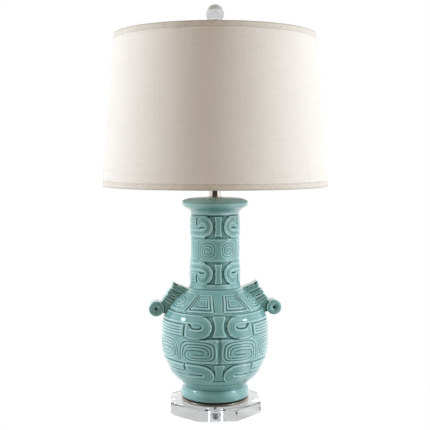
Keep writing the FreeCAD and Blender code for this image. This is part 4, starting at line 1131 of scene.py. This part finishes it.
# Shade: linen on a styrene liner, lapped at the back, its edges bound in folded tape
def makeLinenWeave():
    # plain-woven linen: thick and thin threads both ways; place is (along the weft, along the warp) in m
    group, given, out = startGroup("linenWeave", {
        "Tone": (0.7, 0.65, 0.6, 1), "Slub": (0.8, 0.77, 0.72, 1), "Gap": (0.45, 0.4, 0.34, 1),
        "Slubbiness": 0.5, "Pitch": 0.0009})
    x, y = list(splitUp(group, given["Place"]))[:2]

    def streaks(fine, slow, a, b, detail):
        stretched = joined(group, maths(group, "MULTIPLY", a, fine), maths(group, "MULTIPLY", b, slow))
        return noise(group, stretched, 1.0, detail, 0.55)

    warp, weft = streaks(900.0, 26.0, x, y, 3.0), streaks(900.0, 22.0, y, x, 3.0)
    broad = maths(group, "ADD", streaks(260.0, 12.0, y, x, 2.0), streaks(320.0, 10.0, x, y, 2.0))
    turn = maths(group, "DIVIDE", math.pi, given["Pitch"])
    over = maths(group, "MULTIPLY", maths(group, "SINE", maths(group, "MULTIPLY", x, turn)),
                 maths(group, "SINE", maths(group, "MULTIPLY", y, turn)))
    threads = maths(group, "ADD", warp, weft)
    both = maths(group, "MULTIPLY", maths(group, "ADD", threads, broad), 0.5)
    thick = maths(group, "MULTIPLY", spread(group, both, 0.98, 1.3), given["Slubbiness"])
    thin = maths(group, "MULTIPLY", spread(group, both, 1.02, 0.74), given["Slubbiness"])
    colour = mixed(group, thick, given["Tone"], given["Slub"])
    colour = mixed(group, thin, colour, given["Gap"])
    between = spread(group, maths(group, "ABSOLUTE", over), 0.3, 0.0, 0.0, 0.35)
    height = maths(group, "MULTIPLY_ADD", over, 0.35, threads)
    return endGroup(group, out, mixed(group, between, colour, given["Gap"]),
                    spread(group, both, 0.7, 1.3, 0.92, 0.72),
                    maths(group, "MULTIPLY_ADD", broad, 0.6, height))


linenWeave = makeLinenWeave()
windRadius = 0.19  # metres: the cloth's mean way round the shade


def clothMaterial(name, tone, slub, gap, slubbiness, bias=0.0, strength=0.5, edges=False):
    # cloth wound round the shade's axis; bias turns the weave, in degrees
    material, tree, shader, place = startMaterial(name, Sheen_Weight=0.14, Sheen_Roughness=0.4, IOR=1.35)
    x, y, z = list(splitUp(tree, place))
    around = maths(tree, "ARCTAN2", x, maths(tree, "MULTIPLY", y, -1.0))
    flat = joined(tree, maths(tree, "MULTIPLY", around, windRadius), z)
    laid = put(tree, "ShaderNodeVectorRotate", {"Vector": flat, "Angle": math.radians(bias)},
               rotation_type="Z_AXIS").outputs[0]
    weave = dress(tree, shader, linenWeave, {"Place": laid, "Tone": tone, "Slub": slub, "Gap": gap,
                                             "Slubbiness": slubbiness}, strength, 0.0003)
    # painted light on the tape: towards the slub's tone along the hem (painted highlight), towards the gap's
    # tone at the folded edge (painted shade)
    if edges:
        edge = put(tree, "ShaderNodeAttribute", attribute_name="tapePaintedLight").outputs["Fac"]
        colour = mixed(tree, spread(tree, edge, 0.5, 1.0), weave["Color"], slub)
        colour = mixed(tree, spread(tree, edge, 0.5, 0.0), colour, gap)
        tree.links.new(colour, shader.inputs["Base Color"])
    return material


shade = {
    "low": 413.63, "high": 681.42, "lowRadius": 202.55, "highRadius": 179.45,  # outside of the linen
    "linen": 0.4, "liner": 0.6, "gap": 0.02, "lap": 12.0, "columns": 288, "rows": 18,
    "unevenness": 0.12, "waves": 7, "unevenFrom": 0.08, "unevenTo": 6.2, "climb": 0.02,  # ways in radians
    "linenTone": srgb(228, 216, 200), "linenSlub": srgb(238, 229, 215), "linenGap": srgb(194, 178, 156),
}
tape = {
    "band": 12.7, "innerBand": 9.0, "thickness": 0.6, "hem": 1.7, "hemLift": 0.35, "overRing": 4.35,
    "columns": 240, "notchBand": 0.9, "notchEase": 1.2, "sway": 0.05,
    # the tape's tones sit darker than the linen's: painted shade for the light that the doubled tape, unlike
    # the single linen, does not let through
    "tone": srgb(221, 207, 188), "slub": srgb(234, 224, 209), "gap": srgb(158, 142, 122),
    "notchAngles": (60.0, 180.0, 300.0), "notchHalf": 1.6,  # degrees, where the spokes pass
}


def shadeRadius(z):
    share = (z - shade["low"]) / (shade["high"] - shade["low"])
    return shade["lowRadius"] + share * (shade["highRadius"] - shade["lowRadius"])


def makeLinen():
    rng = np.random.default_rng(4)
    columns, rows, count = shade["columns"], shade["rows"], shade["waves"]
    lap = shade["lap"] * 2 / (shade["lowRadius"] + shade["highRadius"])
    ways = np.linspace(0, 2 * math.pi + lap, columns + 1)
    levels = np.linspace(shade["low"], shade["high"], rows)
    waves = [(rng.integers(3, 17), rng.uniform(0, 6.28), rng.uniform(0, 2.5)) for _ in range(count)]
    points = []
    for depth in (0.0, shade["linen"]):
        for z in levels:
            share = (z - levels[0]) / (levels[-1] - levels[0])
            for way in ways:
                # the last stretch climbs over the first where the cloth laps
                climb = np.clip((way - 2 * math.pi + shade["climb"]) / shade["climb"], 0, 1)
                climb *= shade["linen"] + shade["gap"]
                sway = sum(math.sin(n * way + a + b * share) for n, a, b in waves) / count
                lift = shade["unevenness"] * sway * math.sin(math.pi * share)
                lift *= shade["unevenFrom"] < way < shade["unevenTo"]
                r = shadeRadius(z) - depth + climb + lift
                points.append((r * math.sin(way + math.pi), -r * math.cos(way + math.pi), z))
    wide, faces = columns + 1, []
    layer = wide * rows
    for i in range(rows - 1):
        for k in range(columns):
            a, b = i * wide + k, (i + 1) * wide + k
            faces += [(a, a + 1, b + 1, b), (layer + b, layer + b + 1, layer + a + 1, layer + a)]
        a, b = i * wide, (i + 1) * wide
        faces += [(a, b, layer + b, layer + a),
                  (layer + a + columns, layer + b + columns, b + columns, a + columns)]
    top = (rows - 1) * wide
    for k in range(columns):
        faces += [(k + 1, k, layer + k, layer + k + 1),
                  (top + k, top + k + 1, layer + top + k + 1, layer + top + k)]
    material = clothMaterial("shadeLinen", shade["linenTone"], shade["linenSlub"], shade["linenGap"], 0.18)
    linen = newPiece("shadeLinen", points, faces, "shade", "shade_linen", 40, material)
    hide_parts("shade_panel")
    return linen


def makeLiner():
    outer, inner = shade["linen"] + shade["gap"], shade["linen"] + shade["liner"]
    outline = [(shadeRadius(shade[end]) - depth, shade[end])
               for end, depth in (("low", inner), ("low", outer), ("high", outer), ("high", inner))]
    points, faces = latheMesh(outline, 192, closed=True)
    material = mouldedMaterial("styreneLiner", srgb(238, 236, 228), srgb(226, 220, 208), 0.2, 0.32,
                               500.0, 0.1)
    return newPiece("shadeLiner", points, faces, "shade", "shade_linen", 40, material)


def makeTape(name, node, edge, inward, notches):
    # tape folded over the edge and its wire ring, with a hem along its outer border; a per-point tone paints
    # a highlight along the hem and shade at the folded edge
    thick, columns, sway, hem = tape["thickness"], tape["columns"], tape["sway"], tape["hemLift"]
    fold, bandEnd = edge + inward * thick, edge + inward * tape["band"]
    hemTop = edge + inward * (tape["band"] - tape["hem"])
    atFold, atBand, atHem = shadeRadius(fold), shadeRadius(bandEnd), shadeRadius(hemTop)
    ringSide = atFold - 0.1 - tape["overRing"]
    points, paintedEdgeLight = [], []
    for k in range(columns):
        angle = 360 * k / columns
        near = min([abs((angle - a + 180) % 360 - 180) for a in notches] or [180])
        notch = 1 - np.clip((near - tape["notchHalf"]) / tape["notchEase"], 0, 1)
        innerEnd = edge + inward * (tape["innerBand"] * (1 - notch) + tape["notchBand"] * notch)
        lean = shadeRadius(innerEnd) - atFold
        wave = sway * math.sin(k * 0.61) + sway * math.sin(k * 0.23 + 1)
        # the third value is painted light: above 0.5 a painted highlight, below 0.5 painted shade
        profile = [  # radius, level, and the tone from the gap's at 0 to the slub's at 1
            (atBand + 0.02, bandEnd, 0.4), (atBand + thick * 0.8, bandEnd, 0.9),
            (atBand + thick + hem * 0.7, bandEnd - inward * 0.5, 1.0),
            (atHem + thick + hem, hemTop + inward * 0.5, 0.95),
            (atHem + thick * 0.9, hemTop - inward * 0.3, 0.4),
            (atHem + thick * 0.85 + wave, edge + inward * 7, 0.5),
            (atFold + thick * 0.95 + wave, edge + inward * 2.6, 0.5),
            (atFold + thick * 0.8, edge + inward * 1.1, 0.25),
            (atFold + thick * 0.2, edge + inward * 0.25, 0.05),
            (atFold - 1.2, edge, 0.1), (ringSide + 0.6, edge + inward * 0.1, 0.3),
            (ringSide - thick * 0.6, edge + inward * 0.8, 0.5), (ringSide - thick, edge + inward * 1.8, 0.5),
            (ringSide - thick + lean, innerEnd + inward * 0.02, 0.6),
            (ringSide + lean, innerEnd, 0.6), (ringSide, fold + inward * 0.02, 0.4),
            (atFold, fold, 0.4)]
        if inward < 0:
            profile = profile[::-1]
        turn = math.radians(angle)
        points += [(r * math.sin(turn), -r * math.cos(turn), z) for r, z, _ in profile]
        paintedEdgeLight += [fade for _, _, fade in profile]
    size, faces = len(profile), []
    for k in range(columns):
        here, after = k * size, (k + 1) % columns * size
        for i in range(size):
            on = (i + 1) % size
            faces.append((here + i, here + on, after + on, after + i))
    piece = newPiece(name, points, faces, "shade", "shade_tape", 65, tapeCloth)
    piece.data.attributes.new("tapePaintedLight", "FLOAT", "POINT").data.foreach_set("value", paintedEdgeLight)
    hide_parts(node)
    return piece


linen = makeLinen()
makeLiner()
tapeCloth = clothMaterial("bindingTape", tape["tone"], tape["slub"], tape["gap"], 0.35, 45.0, 0.4, True)
topTape = makeTape("topTape", "shade_top_trim", 682.03, -1, tape["notchAngles"])
lowTape = makeTape("lowTape", "shade_bottom_trim", 413.02, 1, ())
print("shade covered")


# Socket thread, bulb and the finial's ball
threads = {"pitch": 3.62, "depth": 0.5, "columns": 96, "step": 0.3, "outsideOf": 11.0, "runOut": 1.2}
shell = {"outside": 13.85, "wall": 0.5, "low": 462.2, "high": 486.2, "floorHole": 11.66,
         "plainLow": 1.6, "plainHigh": 0.8, "floorRise": 0.9}
bulb = {"capLow": 472.05, "capRadius": 12.75, "insulator": 9.8, "capHigh": 494.05,
        "neck": [(12.75, 494.05), (13.6, 498.05), (15.3, 505.4), (18.2, 515.2), (22.2, 523.8),
                 (26.49, 530.97)],
        "globeRadius": 30.0, "globeMiddle": 545.05, "globeFrom": -28,  # degrees
        "coneHigh": 2.5, "threadAbove": 3.2, "threadBelow": 4.5}
ball = {"radius": 17.0, "middle": 719.8, "bore": 2.65, "boreTop": 713.8}


def threaded(points, low, high):
    # cuts a rolled round thread into every point between two levels
    cut = []
    for x, y, z in points:
        r = math.hypot(x, y)
        if low < z < high and r > threads["outsideOf"]:
            fade = min(1.0, (z - low) / threads["runOut"], (high - z) / threads["runOut"])
            turn = 2 * math.pi * z / threads["pitch"] - math.atan2(x, -y)
            size = 1 - fade * threads["depth"] * (0.5 - 0.5 * math.cos(turn)) / r
            x, y = x * size, y * size
        cut.append((x, y, z))
    return cut


def makeSocketThread():
    low, high, out, wall, hole = [shell[key] for key in ("low", "high", "outside", "wall", "floorHole")]
    inner, floor = out - wall, low + wall
    levels = np.arange(floor, high, threads["step"])
    outline = [(hole, low), (inner, low)] + [(out, z) for z in levels] + [(out, high), (inner, high)]
    outline += [(inner, z) for z in levels[::-1] if z > low + shell["floorRise"]]
    outline += [(inner, floor), (hole, floor)]
    points, faces = latheMesh(outline, threads["columns"], closed=True)
    points = threaded(points, low + shell["plainLow"], high - shell["plainHigh"])
    piece = newPiece("socketThread", points, faces, "base", "contact_brass", 50)
    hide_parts("screw_shell")


def makeBulb():
    low, high, r = bulb["capLow"], bulb["capHigh"], bulb["capRadius"]
    outline = [(0, low), (bulb["insulator"], low), (bulb["insulator"] + 0.4, low + 0.1)]
    outline += [(r, z) for z in np.arange(low + bulb["coneHigh"], high - 0.2, threads["step"])]
    points, faces = latheMesh(outline + [(r, high), (0, high)], threads["columns"])
    points = threaded(points, low + bulb["threadAbove"], high - bulb["threadBelow"])
    piece = newPiece("bulbCap", points, faces, "bulb", "bulb_cap_metal", 50)
    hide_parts("bulb_cap")
    size, middle = bulb["globeRadius"], bulb["globeMiddle"]
    outline = [(0, high)] + [tuple(p) for p in throughKnots(bulb["neck"], 6)]
    outline += [(size * math.cos(a), middle + size * math.sin(a))
                for a in np.linspace(math.radians(bulb["globeFrom"]), math.pi / 2, 40)[1:-1]]
    outline.append((0, middle + size))
    piece = newPiece("bulbGlobe", *latheMesh(outline, 96), "bulb", "frosted_glass", 50)
    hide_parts("bulb_globe")


def makeBall():
    size, middle, bore = ball["radius"], ball["middle"], ball["bore"]
    start = -math.acos(bore / size)
    outline = [(0, ball["boreTop"]), (bore, ball["boreTop"])]
    outline += [(size * math.cos(a), middle + size * math.sin(a))
                for a in np.linspace(start, math.pi / 2, 72)[:-1]] + [(0, middle + size)]
    piece = newPiece("finialBall", *latheMesh(outline, 144), "finial", "clear_crystal", 50)
    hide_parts("finial_ball")


makeSocketThread()
makeBulb()
makeBall()
print("bulb and finial done")
